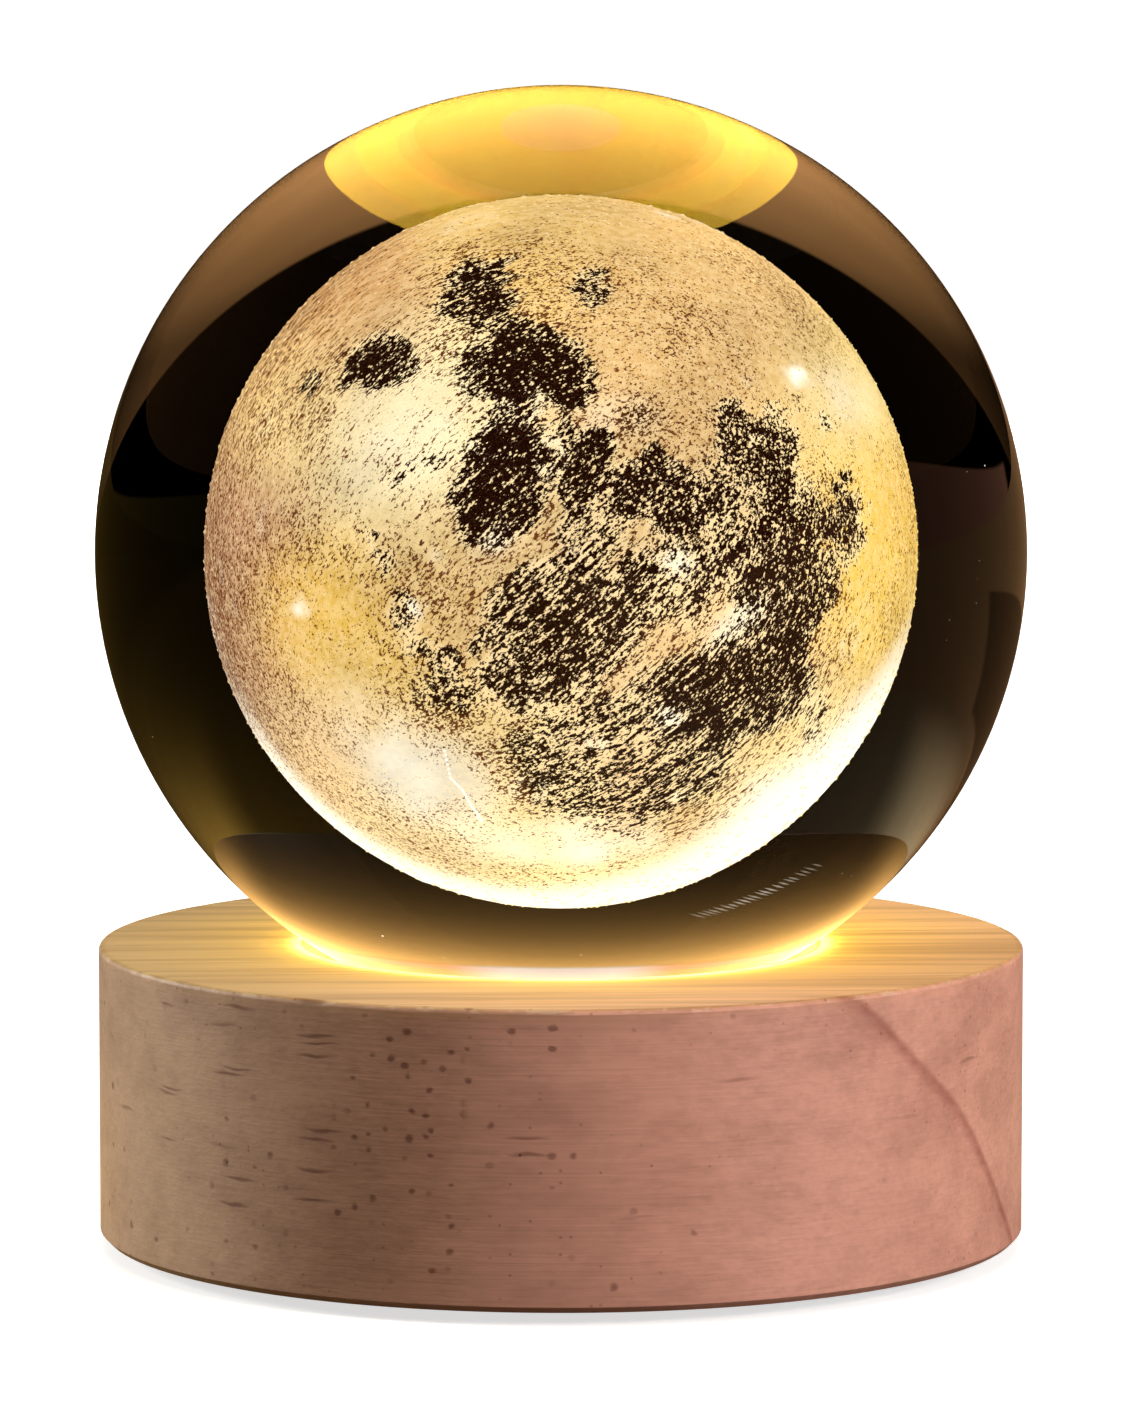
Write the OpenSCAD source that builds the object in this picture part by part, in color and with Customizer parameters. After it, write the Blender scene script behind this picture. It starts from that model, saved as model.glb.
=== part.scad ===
// Crystal ball night light: an engraved glass ball on a round wooden base.
// Millimetres, +Z up, origin on the table under the middle of the ball.
// The front, where the face of the moon looks out, is -Y, and the power inlet is at the back.

/* [Crystal ball] */
// Diameter of the glass ball
ball_d = 60; // [58:0.5:63]
// Diameter of the engraved moon inside the ball
moon_d = 30.4; // [26:0.2:34]
// Depth of the patches in the moon that are left clear
patch_depth = 0.6; // [0.3:0.1:1]

/* [Seat] */
// Diameter of the seat ring, along the middle of its cord
ring_d = 29.2; // [28:0.2:30]
// Thickness of the seat ring's cord
ring_t = 1.8; // [1.5:0.1:2.1]
// Depth of the ring's groove below the top of the base
seat_depth = 3; // [2.7:0.1:3.4]
// Width of the ledge that the groove leaves inside the ring
seat_ledge = 0.5; // [0.3:0.1:0.8]
// Chamfer round the mouth of the seat
mouth_chamfer = 1; // [0.6:0.1:1.4]

/* [Wooden base] */
// How much wider than the ball the wooden base is
base_grow = -0.2; // [-0.6:0.2:6]
// Height of the wood
base_h = 18.8; // [18.4:0.1:21]
// Radius of the round along the top edge
top_round = 0.3; // [0.2:0.1:1]
// Chamfer along the bottom edge
bottom_chamfer = 0.4; // [0.2:0.1:0.8]
// Room left in the pocket round the cup's flange
pocket_room = 2; // [1.5:0.1:2.2]

/* [Light cup and diffuser] */
// Wall of the cup
cup_wall = 0.9; // [0.7:0.1:1.2]
// Width of the cup's flange outside its wall
flange_w = 4.4; // [4:0.1:4.8]
// Thickness of the flange
flange_t = 1.2; // [1:0.1:1.5]
// Width of the ledge that carries the diffuser
diffuser_ledge = 1; // [0.6:0.1:1.5]
// Thickness of that ledge
ledge_t = 1; // [0.7:0.1:1.2]
// Thickness of the diffuser
diffuser_t = 1.5; // [1:0.1:1.8]
// Gap between the diffuser and the ball
diffuser_gap = 0.75; // [0.5:0.05:1]
// Height of the lamps' room between their board and the diffuser's ledge
lamp_room = 1.6; // [1.2:0.1:1.8]

/* [Lamp board] */
// Thickness of the lamp board
led_board_t = 1.2; // [1:0.1:1.4]
// How far the board stays inside the edge of the flange
led_board_inset = 0.5; // [0.2:0.1:1]
// Number of lamps
led_count = 6; // [4:1:8]
// Diameter of the circle that the lamps stand on
led_circle_d = 14; // [13:0.5:16]
// Length of a lamp's package
led_l = 3.5; // [3:0.1:3.6]
// Width of a lamp's package
led_w = 2.8; // [2.6:0.1:3]
// Height of a lamp's package
led_h = 0.7; // [0.6:0.1:1]
// Diameter of a lamp's glowing pad
phosphor_d = 2.2; // [1.8:0.1:2.4]
// Depth of the glowing pad
phosphor_t = 0.3; // [0.2:0.05:0.4]
// Number of series resistors under the board
resistor_count = 3; // [2:1:3]

/* [Power inlet] */
// How far the ends of the inlet plate lie inside the wood's round side
plate_inset = 0.2; // [0.1:0.05:0.5]
// Width of the plate beside the slot, which holds a screw
plate_land = 3.1; // [2.9:0.1:3.5]
// Height of the inlet plate
plate_h = 8; // [7.6:0.1:8.4]
// Thickness of the inlet plate
plate_t = 1.4; // [1.2:0.1:1.6]
// Height of the middle of the socket above the bottom of the wood
port_h = 5.7; // [5.6:0.1:6.2]
// Width of the socket's shell
shell_w = 8.94; // [8.74:0.05:9.04]
// Height of the socket's shell
shell_h = 3.26; // [3.16:0.02:3.3]
// Depth of the socket's shell
shell_l = 7.35; // [6.5:0.05:7.9]
// Wall of the socket's shell
shell_wall = 0.3; // [0.2:0.05:0.35]
// Thickness of the inlet board
inlet_board_t = 1; // [0.8:0.1:1.1]
// Length of the inlet board
inlet_board_l = 9.8; // [9.2:0.1:10.4]
// Gap between the socket and the switch
part_gap = 0.6; // [0.5:0.1:0.9]
// Thickness of the two rails that hold the inlet board
rail_t = 1.4; // [1.2:0.1:1.5]

/* [Button] */
// Diameter of the button
button_d = 4.4; // [4:0.1:4.6]
// How far the button stands out of the plate
button_out = 2.2; // [1:0.1:2.4]
// Travel of the button
button_travel = 0.8; // [0.5:0.05:0.9]
// Width of the switch
switch_w = 5.2; // [4.4:0.1:5.3]
// Length of the switch
switch_l = 5; // [4.4:0.1:5.4]
// Diameter of the plunger
plunger_d = 2.2; // [2:0.1:2.3]

/* [Cover, screws and feet] */
// How far the cover reaches past the pocket
cover_lip = 3.5; // [3.3:0.1:4]
// Thickness of the bottom cover
cover_t = 1.6; // [1.3:0.1:1.7]
// How far the cover lies inside the bottom of the wood
cover_sink = 0.3; // [0.2:0.1:0.5]
// Diameter of a foot
foot_d = 5; // [4:0.2:5.2]
// Thickness of a foot
foot_t = 1.6; // [1.4:0.1:2]
// Depth of the pocket that a foot is glued in
foot_sink = 0.5; // [0.3:0.1:0.7]
// Distance of a foot from the cover's edge
foot_inset = 1; // [0.8:0.1:1.6]
// Diameter of the cover's and the cup's screws
screw_d = 2; // [1.7:0.1:2.1]
// Length of the cover's screws
cover_screw_l = 8; // [7:0.5:9]
// Length of the cup's screws
cup_screw_l = 6.4; // [5.5:0.1:7]
// Diameter of the plate's screws
plate_screw_d = 1.2; // [1:0.1:1.3]
// Length of the plate's screws
plate_screw_l = 5.5; // [5:0.5:7]

/* [Hidden] */
$fn = 96;

// Clearances
fit_gap = 0.1;     // round a piece that is fitted and stays
touch_gap = 0.05;  // between a screw and its hole, or a lead and its joint
run_gap = 0.08;    // round the plunger and the button, which slide
ring_gap = 0.1;    // above and below the seat ring, which the ball rests on
ring_side = 0.2;   // outside the seat ring
past = 1;          // how far a cut runs past the face it opens

// Heights, from the table up
cover_z = foot_t - foot_sink;
cover_top_z = cover_z + cover_t;
base_z = cover_z - cover_sink;
top_z = base_z + base_h;
seat_z = top_z - seat_depth;
ring_z = seat_z + ring_gap + ring_t / 2;
ball_z = ring_z + sqrt(pow(ball_d / 2 + ring_gap + ring_t / 2, 2) - pow(ring_d / 2, 2));
diffuser_z = ball_z - ball_d / 2 - diffuser_gap - diffuser_t;
flange_z = diffuser_z - ledge_t - lamp_room;
deck_z = flange_z + flange_t;
led_board_z = flange_z - led_board_t;

// Radii and diameters, from the seat outwards
base_d = ball_d + base_grow;
groove_d = ring_d + ring_t + 2 * ring_side;
bore_d = ring_d - ring_t - 2 * seat_ledge;
cup_d = bore_d - 2 * fit_gap;
cup_in_d = cup_d - 2 * cup_wall;
flange_d = cup_d + 2 * flange_w;
pocket_d = flange_d + 2 * pocket_room;
cover_d = pocket_d + 2 * cover_lip;
led_board_d = flange_d - 2 * led_board_inset;
cup_screw_r = (cup_d + flange_d) / 4;
cover_screw_r = (pocket_d + cover_lip) / 2;
foot_r = (cover_d - foot_d) / 2 - foot_inset;
screw_turn = [30, 150, 270];
foot_turn = [45, 135, 225, 315];

// Screw heads, in shank diameters: their width, and the length and width of the cross in them
head_share = 1.9;
cross_long = 1.2;
cross_wide = 0.2;
cross_deep = 0.5;  // in millimetres, as is the height of a pan head
pan_head_t = 1.1;

// The inlet across: socket and switch side by side between two rails
rail_gap = 0.5;     // between a rail and what stands beside it
rail_in = (shell_w + part_gap + switch_w) / 2 + rail_gap;
rail_bite = rail_t / 2;
port_x = shell_w / 2 + rail_gap - rail_in;
button_x = rail_in - rail_gap - switch_w / 2;
inlet_board_half = rail_in + rail_bite - touch_gap;
slot_half = rail_in + rail_t + fit_gap;
plate_w = 2 * (slot_half + plate_land);
plate_screw_x = slot_half + plate_land / 2;

// The inlet from its board upwards
cap_flange_d = button_d + 1;
slot_room = 0.5;    // in the wood, below the board and above the socket or the button
rail_over = 1.3;    // height of a rail above the board
port_z = base_z + port_h;
inlet_top_z = port_z - shell_h / 2;
inlet_board_z = inlet_top_z - inlet_board_t;
slot_z = inlet_board_z - slot_room;
slot_top_z = port_z + max(shell_h, cap_flange_d) / 2 + slot_room;

// The inlet from the back of the base inwards
socket_sink = 0.2;   // how far the socket's mouth lies inside the plate's face
travel_spare = 0.2;  // left between the button and the switch when pressed
cap_flange_t = 0.6;
cap_grip = 1.3;      // depth of the plunger in the button
plate_y = sqrt(pow(base_d / 2, 2) - pow(plate_w / 2 + fit_gap, 2)) - plate_inset;
plate_back = plate_y - plate_t;
shell_y = plate_y - socket_sink - shell_l;
cap_y = plate_back - fit_gap - cap_flange_t;
switch_front = cap_y - button_travel - travel_spare;
switch_y = switch_front - switch_l;
inlet_board_y = switch_front - inlet_board_l;

// Inside the socket: the block at its back, the tongue on it and the contacts in the tongue
tongue_w = 6.7;
tongue_t = 0.7;
tongue_l = 4.4;
tongue_block = 1.8;
contact_w = 0.7;
contact_t = 0.08;
contact_l = 3.2;
contact_inset = 0.25;  // from the tongue's end
contact_x = [-2.1, 0, 2.1];

// Inside the switch
switch_floor = 0.8;
plunger_in = 2.3;
spring_wire = 0.28;
spring_turns = 4;

// Resistors: length, width, height, and the distance between them
led_resistor = [3.2, 1.6, 0.55];
led_resistor_pitch = 4.2;
led_resistor_y = -7.7;
inlet_resistor = [0.8, 1.6, 0.45];
inlet_resistor_pitch = 1;

// Solder joints: a dome this wide, cut flat where the lead meets it
solder_d = 1.8;
solder_flat = 0.6;
solder_inset = 1.9;  // from the inlet board's inner edge
lead_d = 1.1;
inlet_joint_y = inlet_board_y + solder_inset;
lead_x = [-2.4, 2.4];
led_joint_y = -2.4;

// Routes of the two leads through the pocket, from the inlet board to the lamp board. Each
// point is counted from the end that it is nearer to
lead_a_z = inlet_top_z + lead_d / 2 + touch_gap;
lead_b_z = led_board_z - lead_d / 2 - touch_gap;
lead_a_y = inlet_joint_y - solder_flat - touch_gap;
lead_b_y = led_joint_y + solder_flat + touch_gap;
positive_route = [
    [lead_x[0], lead_a_y, lead_a_z],
    [lead_x[0], lead_a_y - 1.1, lead_a_z],
    [lead_x[0] - 0.3, lead_a_y - 2.6, lead_a_z - 0.5],
    [lead_x[0] - 1.8, lead_a_y - 5, lead_a_z - 1],
    [lead_x[0] - 3, lead_b_y + 5, lead_b_z - 1.8],
    [lead_x[0] - 2.2, lead_b_y + 3, lead_b_z - 1.1],
    [lead_x[0] - 0.5, lead_b_y + 1.6, lead_b_z - 0.3],
    [lead_x[0], lead_b_y + 0.9, lead_b_z],
    [lead_x[0], lead_b_y, lead_b_z]
];
negative_route = [
    [lead_x[1], lead_a_y, lead_a_z],
    [lead_x[1], lead_a_y - 1.1, lead_a_z],
    [lead_x[1] + 0.5, lead_a_y - 2.8, lead_a_z - 0.6],
    [lead_x[1] + 2.4, lead_a_y - 4.6, lead_a_z - 1.1],
    [lead_x[1] + 4, lead_b_y + 5.4, lead_b_z - 2],
    [lead_x[1] + 2.8, lead_b_y + 3.2, lead_b_z - 1.2],
    [lead_x[1] + 0.7, lead_b_y + 1.7, lead_b_z - 0.3],
    [lead_x[1], lead_b_y + 0.9, lead_b_z],
    [lead_x[1], lead_b_y, lead_b_z]
];
lead_steps = 4;
lead_sides = 8;

// Clear patches of the moon: degrees to the right of the front, degrees up, degrees across
patches = [
    [-40, 37, 21], [-12, 46, 17], [10, 39, 19], [-14, 14, 31], [17, 13, 22], [44, 14, 25],
    [-1, -14, 28], [31, -12, 32], [15, -38, 27]
];

// Paths and tubes
function unit(v) = v / norm(v);
function bend(a, b, c, d, t) = 0.5 * (2 * b + (c - a) * t + (2 * a - 5 * b + 4 * c - d) * t * t
    + (3 * b - 3 * c + d - a) * t * t * t);
function smooth_path(p, steps) = let (last = len(p) - 1) [
    for (i = [0 : last - 1], s = [0 : steps - 1])
        bend(p[max(i - 1, 0)], p[i], p[i + 1], p[min(i + 2, last)], s / steps),
    p[last]
];
function heading(p, i) = unit(p[min(i + 1, len(p) - 1)] - p[max(i - 1, 0)]);
function spring_path(r, turns, length, steps) = [
    for (i = [0 : turns * steps])
        [r * cos(360 * i / steps), length * i / (turns * steps), r * sin(360 * i / steps)]
];

// A round tube along a path. Its rings stand square to the path, turned from the direction side
module tube(path, d, sides, side) {
    n = len(path);
    points = [
        for (i = [0 : n - 1])
            let (t = heading(path, i), u = unit(cross(t, side)), v = cross(t, u))
                for (j = [0 : sides - 1])
                    path[i] + d / 2 * (cos(360 * j / sides) * u + sin(360 * j / sides) * v)
    ];
    walls = [
        for (i = [0 : n - 2], j = [0 : sides - 1])
            let (a = i * sides + j, b = i * sides + (j + 1) % sides)
                each [[a, a + sides, b + sides], [a, b + sides, b]]
    ];
    ends = [
        for (j = [1 : sides - 2])
            each [[0, j, j + 1], [(n - 1) * sides, (n - 1) * sides + j + 1, (n - 1) * sides + j]]
    ];
    polyhedron(points = points, faces = concat(walls, ends), convexity = 10);
}

// A bar along +Y whose section is flat above and below and round at both sides
module round_bar(w, h, l) {
    translate([-(w - h) / 2, 0, -h / 2]) cube([w - h, l, h]);
    for (side = [-1, 1])
        translate([side * (w - h) / 2, 0, 0]) rotate([-90, 0, 0]) cylinder(h = l, d = h);
}

// A cylinder along +Y
module rod_y(d, l) {
    rotate([-90, 0, 0]) cylinder(h = l, d = d);
}

// Places its children at each of the given angles round the middle of the base
module around(angles, r, z) {
    for (a = angles) rotate([0, 0, a]) translate([r, 0, z]) children();
}

// The cross cut into a screw's head, from its face upwards
module cross_slot(d) {
    for (turn = [0, 90])
        rotate([0, 0, turn])
            translate([-cross_long * d / 2, -cross_wide * d / 2, -past])
                cube([cross_long * d, cross_wide * d, past + cross_deep]);
}

// A countersunk screw along +Z, with its flat face at z = 0
module countersunk_screw(d, l) {
    head = head_share * d;
    sink = (head - d) / 2;
    difference() {
        union() {
            cylinder(h = sink, d1 = head, d2 = d);
            cylinder(h = l, d = d);
        }
        cross_slot(d);
    }
}

// The hole that takes such a screw
module countersunk_hole(d, l) {
    hole = d + 2 * touch_gap;
    head = head_share * d + 2 * touch_gap;
    sink = (head - hole) / 2;
    translate([0, 0, -past]) cylinder(h = l + past + touch_gap, d = hole);
    translate([0, 0, -past]) cylinder(h = past, d = head);
    cylinder(h = sink, d1 = head, d2 = hole);
}

// A pan-headed screw along +Z, with the underside of its head at z = 0
module pan_screw(d, l) {
    difference() {
        union() {
            translate([0, 0, -pan_head_t]) cylinder(h = pan_head_t, d = head_share * d);
            cylinder(h = l, d = d);
        }
        translate([0, 0, -pan_head_t]) cross_slot(d);
    }
}

// A dome of solder on the top of a board, cut flat on the side the lead comes from
module solder_dome(lead_side) {
    intersection() {
        sphere(d = solder_d);
        translate([-solder_d, lead_side > 0 ? -solder_d : -solder_flat, 0])
            cube([2 * solder_d, solder_d + solder_flat, solder_d]);
    }
}

// The engraved ball of dots, with its clear patches cut into it
module moon_shape() {
    floor_r = moon_d / 2 - patch_depth;
    difference() {
        sphere(d = moon_d);
        for (p = patches)
            rotate([0, 0, p[0]]) rotate([90 - p[1], 0, 0]) difference() {
                translate([0, 0, floor_r / 2]) cylinder(h = moon_d, d = moon_d * sin(p[2] / 2));
                sphere(r = floor_r);
            }
    }
}

// Half of the wood's section, from the bore to the rim
module base_section() {
    r = base_d / 2;
    difference() {
        polygon([
            [bore_d / 2, seat_z], [groove_d / 2, seat_z], [groove_d / 2, top_z - mouth_chamfer],
            [groove_d / 2 + mouth_chamfer, top_z], [r, top_z], [r, base_z + bottom_chamfer],
            [r - bottom_chamfer, base_z], [cover_d / 2 + fit_gap, base_z],
            [cover_d / 2 + fit_gap, cover_top_z], [pocket_d / 2, cover_top_z],
            [pocket_d / 2, deck_z], [bore_d / 2, deck_z]
        ]);
        translate([r - top_round, top_z - top_round]) difference() {
            square(top_round + past);
            circle(r = top_round);
        }
    }
}

module wooden_base() {
    color("burlywood") difference() {
        rotate_extrude() base_section();
        translate([0, plate_back, port_z])
            round_bar(plate_w + 2 * fit_gap, plate_h + 2 * fit_gap, base_d / 2);
        translate([-slot_half, inlet_board_y, slot_z])
            cube([2 * slot_half, plate_back + past - inlet_board_y, slot_top_z - slot_z]);
        around(screw_turn, cup_screw_r, deck_z - past)
            cylinder(h = cup_screw_l - flange_t - led_board_t + past + touch_gap,
                d = screw_d + 2 * touch_gap);
        around(screw_turn, cover_screw_r, cover_top_z - past)
            cylinder(h = cover_screw_l - cover_t + past + touch_gap, d = screw_d + 2 * touch_gap);
        for (side = [-1, 1])
            translate([side * plate_screw_x, plate_y - plate_screw_l - touch_gap, port_z])
                rod_y(plate_screw_d + 2 * touch_gap, plate_screw_l);
    }
}

module seat_ring() {
    color([0.95, 0.93, 0.85]) translate([0, 0, ring_z])
        rotate_extrude() translate([ring_d / 2, 0]) circle(d = ring_t, $fn = 48);
}

module light_cup() {
    color("white") difference() {
        union() {
            translate([0, 0, flange_z]) cylinder(h = seat_z - flange_z, d = cup_d);
            translate([0, 0, flange_z]) cylinder(h = flange_t, d = flange_d);
        }
        translate([0, 0, diffuser_z]) cylinder(h = seat_z - diffuser_z + past, d = cup_in_d);
        translate([0, 0, flange_z - past])
            cylinder(h = diffuser_z - flange_z + 2 * past, d = cup_in_d - 2 * diffuser_ledge);
        translate([0, 0, flange_z - past])
            cylinder(h = diffuser_z - ledge_t - flange_z + past, d = cup_in_d);
        around(screw_turn, cup_screw_r, flange_z - past)
            cylinder(h = flange_t + 2 * past, d = screw_d + 2 * touch_gap);
    }
}

module diffuser_disc() {
    color([0.98, 0.95, 0.85]) translate([0, 0, diffuser_z])
        cylinder(h = diffuser_t, d = cup_in_d - 2 * fit_gap);
}

module led_board() {
    color("ghostwhite") difference() {
        translate([0, 0, led_board_z]) cylinder(h = led_board_t, d = led_board_d);
        around(screw_turn, cup_screw_r, led_board_z - past)
            cylinder(h = led_board_t + 2 * past, d = screw_d + 2 * touch_gap);
    }
}

// Places its children at each lamp, with its long side square to the spoke
module at_lamps(z) {
    around([for (i = [0 : led_count - 1]) 360 * (i + 0.5) / led_count], led_circle_d / 2, z)
        rotate([0, 0, 90]) children();
}

module led_packages() {
    color("whitesmoke") at_lamps(flange_z) difference() {
        translate([-led_l / 2, -led_w / 2, 0]) cube([led_l, led_w, led_h]);
        translate([0, 0, led_h - phosphor_t]) cylinder(h = phosphor_t + past, d = phosphor_d);
    }
}

module led_phosphors() {
    color("gold") at_lamps(flange_z + led_h - phosphor_t)
        cylinder(h = phosphor_t, d = phosphor_d);
}

module led_resistors() {
    color([0.12, 0.12, 0.13]) for (i = [0 : resistor_count - 1])
        translate([(i - (resistor_count - 1) / 2) * led_resistor_pitch - led_resistor[0] / 2,
                   led_resistor_y - led_resistor[1] / 2, led_board_z - led_resistor[2]])
            cube(led_resistor);
}

module cup_screws() {
    color("silver") around(screw_turn, cup_screw_r, led_board_z) pan_screw(screw_d, cup_screw_l);
}

module positive_lead() {
    color("red") tube(smooth_path(positive_route, lead_steps), lead_d, lead_sides, [0, 0, 1]);
}

module negative_lead() {
    color([0.1, 0.1, 0.1])
        tube(smooth_path(negative_route, lead_steps), lead_d, lead_sides, [0, 0, 1]);
}

module solder_joints() {
    color("lightgray") for (x = lead_x) {
        translate([x, inlet_joint_y, inlet_top_z]) solder_dome(-1);
        translate([x, led_joint_y, led_board_z]) mirror([0, 0, 1]) solder_dome(1);
    }
}

module inlet_board() {
    color("seagreen") translate([-inlet_board_half, inlet_board_y, inlet_board_z])
        cube([2 * inlet_board_half, inlet_board_l, inlet_board_t]);
}

module inlet_resistors() {
    color([0.12, 0.12, 0.13]) for (side = [-0.5, 0.5])
        translate([side * inlet_resistor_pitch - inlet_resistor[0] / 2,
                   inlet_joint_y - inlet_resistor[1] / 2, inlet_top_z])
            cube(inlet_resistor);
}

module usb_shell() {
    color("silver") translate([port_x, shell_y, port_z]) difference() {
        round_bar(shell_w, shell_h, shell_l);
        translate([0, shell_wall, 0])
            round_bar(shell_w - 2 * shell_wall, shell_h - 2 * shell_wall, shell_l);
    }
}

// The contacts, let into both faces of the tongue, or the grooves that they lie in
module contact_strips(over) {
    for (x = contact_x, face = [0, 1])
        mirror([0, 0, face])
            translate([x - contact_w / 2, tongue_block + tongue_l - contact_l - contact_inset,
                       tongue_t / 2 - contact_t])
                cube([contact_w, contact_l, contact_t + over]);
}

module usb_tongue() {
    inside = 2 * (shell_wall + touch_gap);
    color([0.1, 0.1, 0.11]) translate([port_x, shell_y + shell_wall, port_z]) difference() {
        union() {
            round_bar(shell_w - inside, shell_h - inside, tongue_block);
            translate([-tongue_w / 2, tongue_block / 2, -tongue_t / 2])
                cube([tongue_w, tongue_l + tongue_block / 2, tongue_t]);
        }
        contact_strips(past);
    }
}

module usb_contacts() {
    color("goldenrod") translate([port_x, shell_y + shell_wall, port_z]) contact_strips(0);
}

module switch_body() {
    color([0.15, 0.15, 0.16]) difference() {
        translate([button_x - switch_w / 2, switch_y, inlet_top_z])
            cube([switch_w, switch_l, shell_h]);
        translate([button_x, switch_y + switch_floor, port_z])
            rod_y(plunger_d + 2 * run_gap, switch_l);
    }
}

module switch_plunger() {
    start = switch_front - plunger_in;
    color("ivory") translate([button_x, start, port_z])
        rod_y(plunger_d, cap_y + cap_grip - start);
}

module switch_spring() {
    start = switch_y + switch_floor + spring_wire / 2 + touch_gap;
    length = switch_front - plunger_in - spring_wire / 2 - touch_gap - start;
    color("gray") translate([button_x, start, port_z])
        tube(spring_path(plunger_d / 2 - spring_wire, spring_turns, length, 10),
            spring_wire, 6, [0, 1, 0]);
}

module button_cap() {
    stem = plate_y + button_out - cap_y;
    color([0.92, 0.9, 0.86]) translate([button_x, cap_y, port_z]) difference() {
        union() {
            rod_y(cap_flange_d, cap_flange_t);
            intersection() {
                rod_y(button_d, stem);
                translate([0, stem - button_d, 0]) sphere(r = button_d);
            }
        }
        translate([0, -past, 0]) rod_y(plunger_d + 2 * touch_gap, cap_grip + past + touch_gap);
    }
}

module rear_bezel() {
    color([0.2, 0.2, 0.21]) difference() {
        union() {
            translate([0, plate_back, port_z]) round_bar(plate_w, plate_h, plate_t);
            for (side = [0, 1])
                mirror([side, 0, 0]) translate([rail_in, inlet_board_y, slot_z + fit_gap])
                    cube([rail_t, plate_y - plate_t / 2 - inlet_board_y,
                          inlet_top_z + rail_over - slot_z - fit_gap]);
        }
        translate([-rail_in - rail_bite, inlet_board_y - past, inlet_board_z - touch_gap])
            cube([2 * (rail_in + rail_bite), inlet_board_l + past + touch_gap,
                  inlet_board_t + 2 * touch_gap]);
        translate([port_x, plate_back - past, port_z])
            round_bar(shell_w + 2 * touch_gap, shell_h + 2 * touch_gap, plate_t + 2 * past);
        translate([button_x, plate_back - past, port_z])
            rod_y(button_d + 2 * run_gap, plate_t + 2 * past);
        for (side = [-1, 1])
            translate([side * plate_screw_x, plate_y, port_z])
                rotate([90, 0, 0]) countersunk_hole(plate_screw_d, plate_screw_l);
    }
}

module bezel_screws() {
    color("silver") for (side = [-1, 1])
        translate([side * plate_screw_x, plate_y, port_z])
            rotate([90, 0, 0]) countersunk_screw(plate_screw_d, plate_screw_l);
}

module bottom_cover() {
    color([0.17, 0.17, 0.18]) difference() {
        translate([0, 0, cover_z]) cylinder(h = cover_t, d = cover_d);
        around(screw_turn, cover_screw_r, cover_z) countersunk_hole(screw_d, cover_screw_l);
        around(foot_turn, foot_r, cover_z - past) cylinder(h = foot_sink + past, d = foot_d);
    }
}

module cover_screws() {
    color("silver")
        around(screw_turn, cover_screw_r, cover_z) countersunk_screw(screw_d, cover_screw_l);
}

module rubber_feet() {
    color([0.25, 0.25, 0.26]) around(foot_turn, foot_r, 0) cylinder(h = foot_t, d = foot_d);
}

// The glass fills the moon's clear patches
module crystal_ball() {
    color([0.9, 0.88, 0.82, 0.35]) translate([0, 0, ball_z]) difference() {
        sphere(d = ball_d);
        moon_shape();
    }
}

module engraved_moon() {
    color("khaki") translate([0, 0, ball_z]) moon_shape();
}

wooden_base();
seat_ring();
light_cup();
diffuser_disc();
led_board();
led_packages();
led_phosphors();
led_resistors();
cup_screws();
positive_lead();
negative_lead();
solder_joints();
inlet_board();
inlet_resistors();
usb_shell();
usb_tongue();
usb_contacts();
switch_body();
switch_plunger();
switch_spring();
button_cap();
rear_bezel();
bezel_screws();
bottom_cover();
cover_screws();
rubber_feet();
crystal_ball();
engraved_moon();
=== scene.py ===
import math

import bmesh
import bpy
import numpy as np
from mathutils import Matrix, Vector


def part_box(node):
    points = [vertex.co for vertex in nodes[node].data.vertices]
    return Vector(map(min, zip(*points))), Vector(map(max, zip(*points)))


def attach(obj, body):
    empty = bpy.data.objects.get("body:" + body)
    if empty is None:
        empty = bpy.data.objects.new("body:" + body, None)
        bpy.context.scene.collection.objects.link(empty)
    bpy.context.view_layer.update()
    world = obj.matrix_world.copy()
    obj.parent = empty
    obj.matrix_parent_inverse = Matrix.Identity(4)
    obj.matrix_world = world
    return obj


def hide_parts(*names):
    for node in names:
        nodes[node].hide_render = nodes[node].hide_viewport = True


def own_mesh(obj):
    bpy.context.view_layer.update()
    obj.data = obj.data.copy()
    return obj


# A night light: a clear ball with a moon engraved in it, on a round wooden base with lamps inside.
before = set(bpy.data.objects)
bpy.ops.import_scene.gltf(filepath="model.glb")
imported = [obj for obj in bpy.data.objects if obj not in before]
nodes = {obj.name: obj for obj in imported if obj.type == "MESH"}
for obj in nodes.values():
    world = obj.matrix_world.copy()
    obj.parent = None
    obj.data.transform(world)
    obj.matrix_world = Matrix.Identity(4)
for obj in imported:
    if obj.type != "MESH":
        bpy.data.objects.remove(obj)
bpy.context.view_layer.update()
ballLow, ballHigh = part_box("crystal_ball")
ballMiddle = (ballLow + ballHigh) / 2
ballRadius = (ballHigh.z - ballLow.z) / 2
moonLow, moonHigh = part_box("engraved_moon")
moonRadius = (moonHigh.z - moonLow.z) / 2
glassIndex = 1.517  # crown glass
print("frame loaded, %d CAD nodes" % len(nodes))


def put(name, data):
    made = bpy.data.objects.new(name, data)
    bpy.context.collection.objects.link(made)
    return made


def meshFrom(shell, name):
    mesh = bpy.data.meshes.new(name)
    shell.to_mesh(mesh)
    shell.free()
    return mesh


def direction(aside, upward):
    # the way to a place so many degrees right of the camera and up
    a, e = math.radians(aside), math.radians(upward)
    return math.sin(a) * math.cos(e), -math.cos(a) * math.cos(e), math.sin(e)


# The camera

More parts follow.
